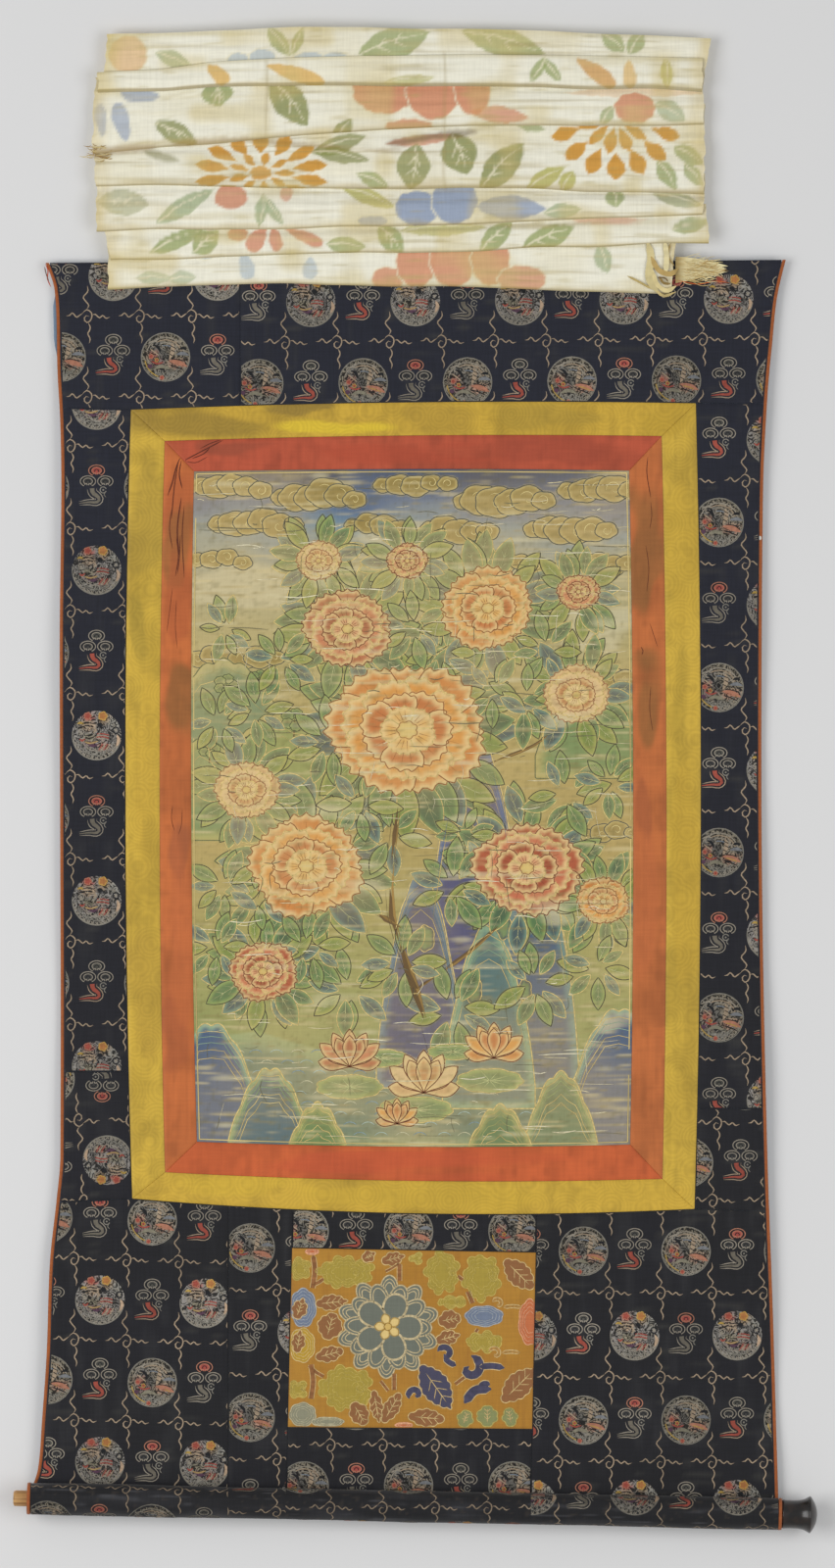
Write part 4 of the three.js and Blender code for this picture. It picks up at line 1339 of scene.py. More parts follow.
picture = fit("painted_cloth", mesh, PAINTED, "painted_cloth", "painting")
lines = [
    (points, half, colour * (1 - DIRT_SHARE) + DIRT * DIRT_SHARE, lift)
    for points, half, colour, lift in art.seen()
]
lines = moved(lines + scratches, *PAINTING_CORNER)
BORDER_INSET = 2.6
border_line = []
for share in (0.0, 1.0):
    t = np.linspace(0, 1, 40)
    across = fill(painting_edges, t, 0 * t + share, BORDER_INSET)
    upward = fill(painting_edges, 0 * t + share, t, BORDER_INSET)
    for line in (across, upward):
        border_line.append(stroke(np.column_stack(line), 1.0, "#cdb878", 6))
mesh = ribbons("paint_lines", lines + border_line, laid_on(painting_edges, 1.6), 0.25)
paint_lines = fit("paint_lines", mesh, PAINTED_LINES, "painted_cloth")


# Silk frames: stains as (photo column, row, width, height, colour, strength)
YELLOW_STAINS = [
    (200, 428, 150, 40, "#93782f", 0.8), (330, 436, 130, 14, "#d9bb33", 0.9),
    (300, 416, 80, 14, "#8f7531", 0.8), (450, 430, 90, 34, "#b08f34", 0.7),
    (560, 424, 120, 26, "#a98c33", 0.6), (680, 428, 70, 34, "#b7962f", 0.6),
    (148, 520, 44, 150, "#a68a34", 0.6), (146, 800, 40, 240, "#c7a238", 0.5),
    (150, 1000, 40, 160, "#b08f34", 0.6), (700, 560, 40, 160, "#c3a036", 0.5),
    (702, 900, 40, 240, "#bd9a33", 0.6), (430, 1222, 300, 30, "#c9a636", 0.6),
    (250, 1210, 120, 30, "#d0ad38", 0.6), (640, 1216, 120, 30, "#c7a338", 0.5),
    (142, 640, 20, 90, "#96802f", 0.5), (156, 880, 18, 120, "#a98b30", 0.5),
    (694, 720, 18, 110, "#a88c30", 0.5), (706, 1060, 18, 120, "#a98b30", 0.5),
]
RED_STAINS = [
    (181, 505, 40, 90, "#a9572f", 0.6), (182, 552, 34, 84, "#6f5a2e", 0.45),
    (183, 708, 34, 84, "#64552a", 0.5), (182, 860, 20, 70, "#8a4e34", 0.5),
    (182, 960, 30, 200, "#c0683a", 0.5), (180, 1060, 34, 80, "#9c5230", 0.5),
    (659, 562, 38, 120, "#6f5a2e", 0.45), (660, 716, 36, 90, "#64552a", 0.5),
    (655, 900, 30, 240, "#be683a", 0.5), (400, 462, 200, 22, "#b04a30", 0.6),
    (560, 462, 120, 26, "#96422e", 0.5), (420, 1186, 300, 30, "#c25432", 0.6),
    (240, 456, 80, 20, "#8c4630", 0.6), (178, 610, 30, 90, "#a9542f", 0.5),
    (656, 820, 20, 60, "#93502f", 0.5),
]

# Creases pressed into the silk, drawn as dark lines: dirt in the creases and painted shade of their folds;
# points as photo column and row, width
CREASES = [
    ([(184, 466), (179, 480), (176, 492), (171, 506)], 1.5), ([(185, 470), (183, 484), (186, 499)], 1.3),
    ([(182, 472), (178, 496), (175, 530)], 1.1), ([(185, 508), (181, 540), (183, 568)], 1.5),
    ([(188, 516), (186, 546), (188, 590)], 1.0), ([(175, 520), (173, 540), (176, 560)], 0.9),
    ([(186, 471), (205, 461), (228, 449)], 1.3), ([(196, 468), (208, 463), (214, 457)], 1.2),
    ([(204, 458), (216, 452), (232, 447)], 0.9), ([(190, 471), (200, 472), (212, 466)], 0.8),
    ([(180, 548), (182, 568), (179, 588)], 1.0), ([(184, 546), (183, 570), (181, 586)], 0.9),
    ([(176, 600), (173, 624), (170, 646)], 0.5), ([(180, 612), (179, 640), (181, 662)], 0.5),
    ([(176, 822), (175, 836), (178, 848)], 0.6), ([(186, 826), (185, 842), (182, 852)], 0.5),
    ([(661, 466), (660, 482), (664, 508)], 0.9), ([(664, 512), (665, 526), (663, 540)], 0.6),
    ([(663, 636), (667, 648), (671, 660)], 0.5), ([(654, 660), (656, 664), (655, 668)], 0.8),
    ([(664, 700), (663, 724), (666, 746)], 0.6), ([(659, 556), (662, 580), (660, 604)], 0.6),
]


# Wear of the silk: patch size, seed, strength
SILK_WEAR = [((46, 40), 61, 0.26), ((17, 21), 62, 0.3), ((6, 9), 63, 0.22), ((3, 40), 64, 0.16)]


def silk_dye(x, z, ground, stains, depth):
    """Faded silk: soft patches of wear at four sizes, then its stains."""
    canvas = Canvas(x, z, ground)
    dark = linear(ground) * 0.5
    for size, seed, strength in SILK_WEAR:
        share = strength * depth * smoothstep(mottle(x, z, size, seed), -0.1, 0.9)
        canvas.blend(slice(None), share, dark)
    for column, row, width, height, code, strength in stains:
        canvas.patch(spot(column, row), (width * PIXEL, height * PIXEL), code, strength, 0.5)
    return canvas.colour


def reach_between(path, edges):
    """How far inside four edges the middle of a path lies."""
    x, z = path[len(path) // 2]
    left, right, top, bottom = edges
    return min(x - left(z), right(z) - x, top(x) - z, z - bottom(x))


def silk_frame(name, outer, inner, grounds, stains, depth, crease_dirt_and_shade_code, material, slot):
    """Four mitred strips between two frames."""

    def mitre(corner):
        return through(outer[corner], inner[corner])

    def turned_mitre(corner):
        return through(turned_about(outer[corner]), turned_about(inner[corner]))

    strips = {
        "top": (turned_mitre("top_left"), turned_mitre("top_right"), outer["top"], inner["top"]),
        "bottom": (
            turned_mitre("bottom_left"), turned_mitre("bottom_right"), inner["bottom"], outer["bottom"],
        ),
        "left": (outer["left"], inner["left"], mitre("top_left"), mitre("bottom_left")),
        "right": (inner["right"], outer["right"], mitre("top_right"), mitre("bottom_right")),
    }
    for side, edges in strips.items():
        node = f"{name}_{side}"
        mesh, x, z, flat = cloth(node + "_silk", edges, FRAME_STEP)
        tint(mesh, "dye", silk_dye(x, z, grounds[side], stains, depth))
        silk = fit(node + "_silk", mesh, material, slot, node)
        # Dark crease lines: dirt in the creases and painted shade of their folds
        paths = [(bend([spot(*point) for point in points]), width) for points, width in CREASES]
        inside = [(path, width) for path, width in paths if reach_between(path, edges) > 0]
        lines = [stroke(path, 0.8 * width, crease_dirt_and_shade_code, 2, "point") for path, width in inside]
        if lines:
            creases = ribbons(node + "_creases", lines, laid_on(edges))
            fit(node + "_creases", creases, THREADS, slot)


YELLOW_GROUNDS = {"top": "#caa539", "bottom": "#cda83b", "left": "#cdaa3d", "right": "#cca93d"}
RED_GROUNDS = {"top": "#b95438", "bottom": "#cb6234", "left": "#c66d38", "right": "#c16d39"}
# Colours of the crease lines: dirt and painted shade
YELLOW_CREASE_DIRT_AND_SHADE = "#8a6c24"
RED_CREASE_DIRT_AND_SHADE = "#5c2a1c"
silk_frame(
    "yellow_border", yellow, red, YELLOW_GROUNDS, YELLOW_STAINS, 1.25,
    YELLOW_CREASE_DIRT_AND_SHADE, YELLOW_SILK, "yellow_silk",
)
silk_frame("red_border", red, painting, RED_GROUNDS, RED_STAINS, 1.35, RED_CREASE_DIRT_AND_SHADE, RED_SILK, "red_silk")


# Door panel: motifs on a grid of 0.255 mm from its upper left, their middles as across and down
DOOR_GRID = 0.255
DOOR_CORNER = np.array([-127.3, -945.25])
CREAM = "#cbb079"
BROWN = "#8d5f38"
LIME = "#a48f39"
SLATE_BLUE = "#6f7a8e"
NAVY = "#47455a"
ROSE = "#bf6c42"
MOSS = "#868a58"
STONE = "#8a8871"
door_edges = (door_left, door_right, door_top, door_bottom)
mesh, x, z, door_flat = cloth("door_silk", door_edges, DOOR_STEP)
door = Picture(x, z, "#a97729")
worn_patches(door, x, z, [
    (0.45, (30, 22), 71, -0.2, 0.8, "#b78833"), (0.3, (3, 14), 72, 0.1, 0.9, "#946426"),
])


def on_door(points):
    """Millimetres for places on the door's grid."""
    return DOOR_CORNER + np.array(points, float) * (DOOR_GRID, -DOOR_GRID)


def rounded(points):
    """A smooth closed outline through a few points."""
    points = np.asarray(points, float)
    t = np.linspace(0, 1, 6, endpoint=False)[:, None]
    made = []
    for k in range(len(points)):
        before, start, end, after = (points[(k + step) % len(points)] for step in (-1, 0, 1, 2))
        lean = (end - before) / 2
        leave = (after - start) / 2
        hermite = start * (2 * t ** 3 - 3 * t ** 2 + 1) + end * (3 * t ** 2 - 2 * t ** 3)
        made.append(hermite + lean * (t ** 3 - 2 * t ** 2 + t) + leave * (t ** 3 - t ** 2))
    return np.vstack(made)


def door_curve(middle, turn, length, bow):
    """A line through a place on the door, turned in degrees from upright and bowed to one side."""
    half = length * DOOR_GRID / 2
    across = np.array([0.0, bow * DOOR_GRID, 0.0])
    return bend(stood(on_door(middle), turn, across, np.array([-half, 0.0, half])))


# Stems: middle, turn, length, bow, width in millimetres
for across, down, turn, length, bow, width in [
    (108, 126, 0, 138, 8, 4.4), (132, 168, 58, 64, 4, 3.0), (102, 550, 0, 130, 8, 4.4),
    (122, 510, 127, 68, 4, 3.0), (413, 115, 58, 64, 2, 2.0), (438, 134, 0, 68, 0, 4.0),
    (381, 567, 142, 48, 0, 2.4), (418, 551, 0, 62, 0, 3.6), (675, 161, 126, 37, 0, 3.0),
    (707, 230, 158, 48, 0, 4.0), (726, 365, 34, 36, 0, 2.4), (670, 545, 53, 50, 0, 3.0),
]:
    path = door_curve((across, down), turn, length, bow)
    door.line(path, width + 1.2, CREAM, 1)
    door.line(path, width, BROWN, 2)

# Clouds, leaves and blooms by kind and colour: middle, turn, length, width
DOOR_MOTIFS = [
    ("cloud", LIME, [
        (235, 135, 0, 120, 220), (60, 122, 0, 84, 80), (600, 135, 0, 170, 130), (503, 82, 0, 40, 46),
        (750, 155, 0, 180, 145), (640, 248, 0, 45, 110), (760, 400, 0, 76, 140), (235, 575, 0, 170, 210),
        (52, 580, 0, 68, 68),
    ]),
    ("bloom", "#b5922f", [(68, 412, 0, 134, 100)]),
    ("bloom", SLATE_BLUE, [(72, 270, 0, 150, 100), (760, 302, 0, 80, 148)]),
    ("bloom", ROSE, [(935, 325, 0, 180, 90), (106, 56, 0, 26, 52), (455, 716, 0, 20, 70)]),
    ("bloom", STONE, [(70, 675, 0, 92, 104), (165, 703, 0, 36, 128)]),
    ("leaf", MOSS, [(688, 692, 20, 70, 60), (772, 682, 0, 84, 80), (858, 686, -10, 76, 56)]),
    ("leaf", BROWN, [
        (58, 275, 20, 84, 56), (54, 400, 10, 88, 50), (320, 75, 60, 56, 44), (412, 84, 75, 92, 50),
        (892, 142, 135, 160, 88), (178, 250, 84, 124, 58), (174, 340, 15, 110, 94), (172, 446, 75, 116, 58),
        (628, 315, 80, 92, 72), (620, 385, 75, 96, 56), (890, 565, 45, 180, 94), (285, 672, 150, 104, 72),
        (350, 642, 170, 126, 48), (408, 650, 30, 136, 58), (540, 688, 95, 146, 66),
    ]),
    ("leaf", NAVY, [(575, 570, 145, 205, 108)]),
]
CONTOUR_TONES = {LIME: "#bda858", ROSE: "#d9a07c", MOSS: "#b0a45c", SLATE_BLUE: "#a3a9ac", STONE: "#b3ac8c"}


def door_motif(kind, code, across, down, turn, length, width):
    """A scalloped leaf with ribs, a scalloped cloud with rings and curls, or a bloom with rings."""
    centre = on_door((across, down))
    length *= DOOR_GRID
    width *= DOOR_GRID
    far = length / 2 * heading(turn)
    if kind == "leaf":
        outline = scalloped(leaf(centre - far, turn, length, width), 8.0, 1.6)
    elif kind == "cloud":
        outline = scalloped(lobes(centre, width, length, 5, 0.2, down), 13.0, 3.8)
    else:
        outline = lobes(centre, width, length, 7, 0.1, down)
    tone = CONTOUR_TONES.get(code, CREAM)
    door.form(outline, code, None, 3.0, tone, 0.9, 0.6)
    if kind == "leaf":
        side = np.array([-far[1], far[0]]) * 0.3
        door.line([centre - 0.6 * far, centre + 0.7 * far], 0.8, CREAM, 3, "point")
        for share in (-0.3, 0.05, 0.4):
            for hand in (-1, 1):
                tip = centre + (share + 0.3) * far + hand * side
                door.line([centre + share * far, tip], 0.6, CREAM, 3, "point")
    else:
        for share in (0.84, 0.66, 0.48):
            ring = outlined(centre + share * (outline - centre), 0.5, tone, 3)
            door.lines += [(len(door.shapes), item) for item in ring]
    if kind == "cloud":
        size = 0.5 * min(length, width)
        for reach, start in ((0.75, 110), (0.5, 290)):
            path = curl(centre + (0.6 * size, 0), size * 0.5 * reach, start, 1.2)
            door.line(path, 0.5, tone, 3, "point")


for kind, code, rows in DOOR_MOTIFS:
    for row in rows:
        door_motif(kind, code, *row)

# Scrolls: hooks as colour, width in millimetres, middle, reach, start, and tails as colour, width in
# millimetres, middle, turn, length, bow
TAN_GOLD = "#a87f42"
scrolls = [
    (code, width, curl(on_door((across, down)), reach * DOOR_GRID, start, 0.9))
    for code, width, across, down, reach, start in [
        (NAVY, 5.9, 612, 444, 30, 200), (NAVY, 8.1, 706, 500, 48, 120), (NAVY, 5.9, 498, 600, 28, 250),
        (TAN_GOLD, 2.6, 812, 254, 21, 200), (TAN_GOLD, 2.6, 802, 444, 25, 200),
    ]
]
scrolls += [
    (code, width, door_curve((across, down), turn, length, bow))
    for code, width, across, down, turn, length, bow in [
        (NAVY, 5.4, 630, 474, 125, 56, 4), (NAVY, 5.9, 789, 497, 92, 96, -6),
        (NAVY, 8.6, 736, 606, 62, 116, -24), (NAVY, 5.4, 762, 568, 75, 42, -10),
        (TAN_GOLD, 2.4, 868, 268, 90, 70, -4), (TAN_GOLD, 2.4, 862, 441, 90, 70, -4),
    ]
]
for code, width, path in scrolls:
    door.line(path, width + 1.6, CREAM, 3, "point")
    door.line(path, width, code, 4, "point")

# Large double flower: rings of round petals from the outside in, as reach, width, count, start, line width
heart = on_door((394, 342))
for reach, width, count, start, edge in [
    (50, 19, 10, 2, 1.3), (46.4, 15, 10, 2, 1.0), (43, 11, 10, 2, 1.0), (42.5, 18.5, 10, 20, 1.3),
    (38.8, 14, 10, 20, 1.0), (33, 24, 5, 20, 2.2),
]:
    for turn in np.arange(start, 360 + start, 360 / count):
        door.form(egg(heart, turn, reach, width), "#6c7064", None, 3.0, "#bfae86", edge, 0.6)
for turn in range(20, 380, 72):
    door.form(leaf(heart, turn + 36, 13, 8.4, 0.62), "#dcc07c", None, 3.0, "#a9853c", 0.7, 0.6)
door.form(lobes(heart, 7.6, 7.6, 5, 0.1), "#cfae62", None, 3.0, "#94702f", 0.7, 0.6)
tint(mesh, "dye", door.colour)
door_cloth = fit("door_silk", mesh, DOOR_SILK, "door_silk", "door_panel")
mesh = ribbons("door_wefts", door.seen(), laid_on(door_edges, 1.2), 0.2)
fit("door_wefts", mesh, WEFTS, "door_silk")


# Folded veil: the step from layer to layer, the clearance of a turn, how far its folds waver and bulge
VEIL_STEP = 1.7
VEIL_FRONT = 0.3
TURN_CLEAR = 2.7
VEIL_WIDTH = 590.0
FOLD_WAVER = 1.6
FOLD_BULGE = 1.3

# Folds: height at the left, middle and right, side edges, layers on the way in and on the way out
VEIL_FOLDS = np.array([
    (220, 227, 216, -299, 287, 2, 2), (174, 178, 177, -302, 279, 2, 3), (182, 199, 196, -308, 278, 3, 4),
    (167, 172, 167, -308, 278, 4, 1), (178, 190, 186, -310, 279, 1, 0), (104, 128, 133, -314, 279, 2, 1),
    (121, 146, 151, -312, 280, 1, 0), (74, 72, 67, -310, 280, 3, 2), (90, 90, 85, -309, 281, 2, 1),
    (30, 35, 47, -309, 279, 4, 3), (48, 53, 56, -304, 282, 3, 2), (1, 10, 19, -296, 284, 4, 3),
    (16, 25, 29, -298, 254, 3, 2), (-25, -22, -31, -298, 247, 2, 1), (-8, -6, -11, -297, 247, 1, 1),
], float)

# Mesh of the veil: its columns, and the height of a row where it is seen and where it is hidden
VEIL_COLUMNS = 310
SEEN_STEP = 1.7
HIDDEN_STEP = 8.0


def fold_heights(s):
    """Height of every fold, for each share of the way across; the folds waver a little."""
    smooth = VEIL_FOLDS[:, :3] @ np.stack(((1 - s) * (1 - 2 * s), 4 * s * (1 - s), s * (2 * s - 1)))
    waver = [mottle(VEIL_WIDTH * s, 0 * s + 40 * k, (60, 10), 105) for k in range(len(VEIL_FOLDS))]
    return smooth + FOLD_WAVER * np.array(waver)


def veil_section(s):
    """Control rows of the folded cloth: (place across, layer, height, run) for every column."""
    z = fold_heights(s)
    x = VEIL_FOLDS[:, 3:4] * (1 - s) + VEIL_FOLDS[:, 4:5] * s
    into = VEIL_FOLDS[:, 5]
    leaves = VEIL_FOLDS[:, 6]
    rows = []
    last = len(VEIL_FOLDS) - 1
    for k in range(last + 1):
        if 0 < k < last:
            radius = abs(leaves[k] - into[k]) * VEIL_STEP / 2
            sign = np.sign(VEIL_FOLDS[k, 1] - VEIL_FOLDS[k - 1, 1])
            for angle in np.linspace(0, math.pi, 6):
                share = (1 - math.cos(angle)) / 2
                layer = into[k] + (leaves[k] - into[k]) * share
                height = z[k] + sign * radius * math.sin(angle)
                rows.append((x[k], layer, height, k if share > 0.5 else k - 1))
        else:
            rows.append((x[k], leaves[k], z[k], k))
        if k < last and into[k + 1] != leaves[k]:
            step = x[k + 1] - x[k]
            rows.append((x[k] + 0.4 * step, leaves[k], z[k - 1] - TURN_CLEAR, k))
            rows.append((x[k] + 0.7 * step, into[k + 1], z[k + 2] + TURN_CLEAR, k))
    return rows


def veil_rows(s):
    """The control rows with even rows filled in between them, close together where they are seen."""
    controls = veil_section(s)
    dense = [controls[0]]
    middle = len(s) // 2
    for before, after in zip(controls, controls[1:]):
        run = math.hypot((after[1] - before[1]) * VEIL_STEP, after[2][middle] - before[2][middle])
        count = max(1, round(run / (HIDDEN_STEP if before[3] % 2 else SEEN_STEP)))
        for step in range(1, count + 1):
            t = step / count
            mixed = [before[k] + (after[k] - before[k]) * t for k in range(3)]
            dense.append((*mixed, before[3] if t < 0.5 else after[3]))
    return dense


across = np.linspace(0, 1, VEIL_COLUMNS + 1)
veil_table = veil_rows(across)
mesh, column, row = grid_mesh("folded_veil", VEIL_COLUMNS, len(veil_table) - 1)
veil_x = np.array([entry[0] for entry in veil_table])[row, column]
veil_layer = np.array([entry[1] for entry in veil_table])[row]
veil_z = np.array([entry[2] for entry in veil_table])[row, column]
veil_run = np.minimum([entry[3] for entry in veil_table], len(VEIL_FOLDS) - 2)[row]
veil_band = veil_run / 2 + 1
heights = fold_heights(across)
run_start = heights[veil_run, column]
run_end = heights[veil_run + 1, column]
fallen = np.clip((veil_z - run_start) / (run_end - run_start), 0, 1)
wrinkle = 0.8 * mottle(veil_x, veil_z, (90, 6), 81) + 0.4 * mottle(veil_x, veil_z, (15, 8), 82)
wrinkle += 0.5 * mottle(veil_x, veil_z, (26, 3.6), 87)
wrinkle += 0.5 * mottle(veil_x, veil_z, (7, 30), 88) * smoothstep(fallen, 0.6, 1)
in_view = veil_run % 2 == 0
bulge = FOLD_BULGE * np.sin(math.pi * fallen) ** 0.7 * in_view
away = np.abs(across[column] - 0.5)
ragged = 1.4 * mottle(veil_z, veil_x, (5, 400), 83) * (away > 0.492)
veil_y = wave(veil_x, np.minimum(veil_z, 0)) - veil_layer * VEIL_STEP - VEIL_FRONT + wrinkle - bulge
set_points(mesh, veil_x + ragged, veil_y, veil_z)

# The dye bleeds along the threads, so its canvas is uneven
bleed_x = 0.8 * mottle(veil_x, veil_z, (5, 4), 89)
bleed_z = 0.8 * mottle(veil_x, veil_z, (4, 5), 90)
veil = Canvas(veil_x + bleed_x, veil_z + bleed_z, "#eeebd9")
veil.wash(0.4 * smoothstep(mottle(veil_x, veil_z, (70, 30), 84), 0, 0.9), "#e4dcbc")
V_GREEN = "#99a566"
V_SAGE = "#a6b38a"
V_OLIVE = "#878d49"
V_LIME = "#b6b359"
V_CORAL = "#d2855f"
V_GOLD = "#cf942e"
V_AMBER = "#dbad4b"
V_BLUE = "#8799b8"
V_MIST = "#b9c4c8"
V_SAND = "#dfb27c"
V_HONEY = "#d59f40"
V_RESIST = "#e9e2c4"

# Dyed motifs by band, on a grid of 0.355 mm from the veil's upper left: kind, colour, strength, middle as
# across and down, turn in degrees from upright, length, width
VEIL_GRID = 0.355
VEIL_CORNER = np.array([-323.0, 228.95])
VEIL_MOTIFS = {
    1: [
        ("round", V_SAND, 0.75, 125, 80, 0, 104, 106), ("leaf", V_SAGE, 0.9, 252, 96, 114, 112, 46),
        ("round", V_MIST, 0.9, 426, 96, 0, 40, 60), ("round", V_MIST, 0.9, 492, 90, 0, 48, 70),
        ("round", V_MIST, 0.9, 620, 92, 0, 36, 84), ("round", V_MIST, 0.9, 690, 90, 0, 32, 66),
        ("leaf", V_GREEN, 0.9, 536, 44, 143, 104, 44), ("leaf", V_GREEN, 0.9, 588, 45, 22, 84, 30),
        ("leaf", V_GREEN, 0.9, 850, 50, 73, 204, 90), ("leaf", V_GREEN, 0.9, 1150, 46, 106, 240, 80),
        ("leaf", V_GREEN, 0.85, 1450, 46, 132, 82, 50), ("leaf", V_GREEN, 0.85, 1512, 48, 31, 76, 46),
    ],
    2: [
        ("petal", V_AMBER, 0.9, 370, 134, 132, 74, 44), ("petal", V_AMBER, 0.9, 582, 134, 107, 166, 46),
        ("leaf", V_LIME, 0.7, 890, 151, 84, 146, 30), ("leaf", V_GREEN, 0.9, 1280, 122, 142, 80, 32),
        ("leaf", V_GREEN, 0.9, 1244, 122, 212, 80, 32), ("petal", V_GOLD, 0.85, 1402, 130, 126, 130, 48),
        ("petal", V_AMBER, 0.75, 1493, 134, 176, 76, 40), ("leaf", V_LIME, 0.9, 1594, 132, 176, 82, 34),
    ],
    3: [
        ("petal", V_BLUE, 0.75, 158, 190, 275, 104, 46), ("petal", V_BLUE, 0.7, 108, 264, 345, 108, 50),
        ("petal", V_BLUE, 0.6, 51, 260, 355, 90, 34), ("leaf", V_GREEN, 0.95, 369, 186, 172, 76, 86),
        ("leaf", V_OLIVE, 0.95, 564, 208, 142, 172, 88), ("round", V_CORAL, 0.95, 824, 178, 0, 128, 172),
        ("round", V_CORAL, 0.95, 958, 182, 0, 152, 148), ("round", V_CORAL, 0.95, 1066, 174, 0, 144, 96),
        ("round", V_CORAL, 0.85, 892, 276, 0, 40, 132), ("leaf", V_CORAL, 0.85, 1140, 244, 96, 164, 48),
        ("leaf", V_OLIVE, 0.9, 256, 294, 117, 132, 58), ("leaf", V_OLIVE, 0.9, 711, 288, 37, 82, 46),
        ("leaf", V_SAND, 0.5, 1512, 184, 90, 390, 26), ("round", V_CORAL, 0.9, 1508, 226, 0, 84, 112),
        ("leaf", V_SAGE, 0.8, 1606, 236, 120, 94, 56), ("leaf", V_GREEN, 0.8, 1432, 246, 30, 54, 36),
    ],
    4: [
        ("leaf", V_CORAL, 0.8, 934, 312, 84, 212, 30), ("leaf", V_OLIVE, 0.85, 700, 326, 72, 156, 50),
        ("leaf", V_OLIVE, 0.85, 706, 356, 100, 160, 42), ("leaf", V_OLIVE, 0.9, 904, 386, 188, 128, 92),
        ("leaf", V_OLIVE, 0.95, 1030, 350, 160, 122, 100), ("leaf", V_OLIVE, 0.95, 1146, 384, 43, 174, 82),
        ("leaf", V_LIME, 0.95, 1264, 418, 60, 120, 48), ("leaf", V_LIME, 0.95, 1324, 426, 30, 64, 44),
        ("leaf", V_GREEN, 0.9, 794, 424, 114, 96, 42), ("leaf", V_GREEN, 0.9, 1596, 408, 148, 96, 48),
        ("leaf", V_GREEN, 0.9, 1656, 354, 120, 98, 48), ("leaf", V_GREEN, 0.85, 1668, 408, 140, 82, 40),
        ("leaf", V_GREEN, 0.8, 1226, 278, 98, 78, 26),
    ],
    5: [
        ("leaf", V_OLIVE, 0.55, 112, 484, 94, 140, 76), ("leaf", V_SAGE, 0.95, 280, 494, 59, 182, 50),
        ("petal", V_CORAL, 0.9, 406, 464, 180, 76, 96), ("leaf", V_SAGE, 0.95, 490, 506, 190, 92, 36),
        ("leaf", V_SAGE, 0.95, 522, 508, 146, 92, 30), ("leaf", V_CORAL, 0.7, 558, 460, 185, 48, 36),
        ("leaf", V_LIME, 0.9, 780, 468, 113, 162, 46), ("round", V_BLUE, 0.8, 793, 536, 0, 28, 84),
        ("round", V_BLUE, 0.95, 914, 500, 0, 98, 122), ("round", V_BLUE, 0.95, 1016, 478, 0, 132, 124),
        ("leaf", V_BLUE, 0.85, 1170, 498, 92, 192, 68), ("leaf", V_SAGE, 0.9, 1310, 508, 84, 102, 42),
        ("leaf", V_GREEN, 0.9, 1454, 472, 175, 54, 56), ("leaf", V_OLIVE, 0.7, 1626, 476, 104, 142, 40),
    ],
    6: [
        ("leaf", V_GREEN, 0.95, 260, 588, 66, 168, 46), ("leaf", V_GREEN, 0.95, 338, 592, 50, 94, 62),
        ("round", V_CORAL, 0.9, 424, 570, 0, 42, 54), ("petal", V_CORAL, 0.9, 478, 584, 215, 78, 52),
        ("petal", V_CORAL, 0.9, 528, 584, 170, 66, 40), ("petal", V_CORAL, 0.9, 606, 578, 113, 112, 34),
        ("leaf", V_CORAL, 0.6, 343, 551, 90, 80, 14), ("leaf", V_GREEN, 0.9, 720, 602, 95, 110, 48),
        ("leaf", V_GREEN, 0.95, 842, 584, 140, 100, 62), ("leaf", V_LIME, 0.75, 986, 556, 88, 240, 40),
        ("leaf", V_GREEN, 0.95, 1130, 576, 48, 118, 58), ("leaf", V_GREEN, 0.95, 1272, 580, 68, 158, 64),
        ("leaf", V_CORAL, 0.6, 1442, 534, 90, 208, 22), ("leaf", V_GREEN, 0.8, 1660, 546, 76, 106, 46),
    ],
    7: [
        ("petal", V_MIST, 0.9, 448, 656, 170, 80, 46), ("petal", V_MIST, 0.85, 622, 664, 180, 60, 44),
        ("leaf", V_SAGE, 0.7, 195, 690, 90, 96, 38), ("leaf", V_SAGE, 0.7, 272, 690, 84, 76, 40),
        ("round", V_MIST, 0.7, 336, 628, 0, 22, 40), ("round", V_CORAL, 0.85, 834, 694, 0, 68, 86),
        ("round", V_CORAL, 0.9, 912, 646, 0, 138, 110), ("round", V_CORAL, 0.9, 1012, 642, 0, 150, 124),
        ("round", V_CORAL, 0.9, 1114, 642, 0, 140, 106), ("round", V_CORAL, 0.8, 1200, 694, 0, 76, 134),
        ("leaf", V_SAGE, 0.9, 1422, 638, 165, 82, 50),
    ],
}

# Kinds of leaf that have pale ribs, and the pale rim round a broad petal in millimetres
VEIL_GREENS = (V_GREEN, V_SAGE, V_OLIVE, V_LIME)
RESIST_RIM = 3.0


def on_veil(points):
    """Millimetres for places on the veil's grid."""
    return VEIL_CORNER + np.array(points, float) * (VEIL_GRID, -VEIL_GRID)


def resist_line(band, start, end, width):
    """A pale line that the resist kept free of dye."""
    side = np.array([start[1] - end[1], end[0] - start[0]]) / np.hypot(*(end - start)) * width / 2
    bow = 0.06 * np.array([start[1] - end[1], end[0] - start[0]])
    middle = (start + end) / 2 + bow
    outline = rounded([start + side, middle + side, end, middle - side, start - side])
    veil.shape(outline, V_RESIST, None, 1.0, 0.7, 0.85, veil_band == band)


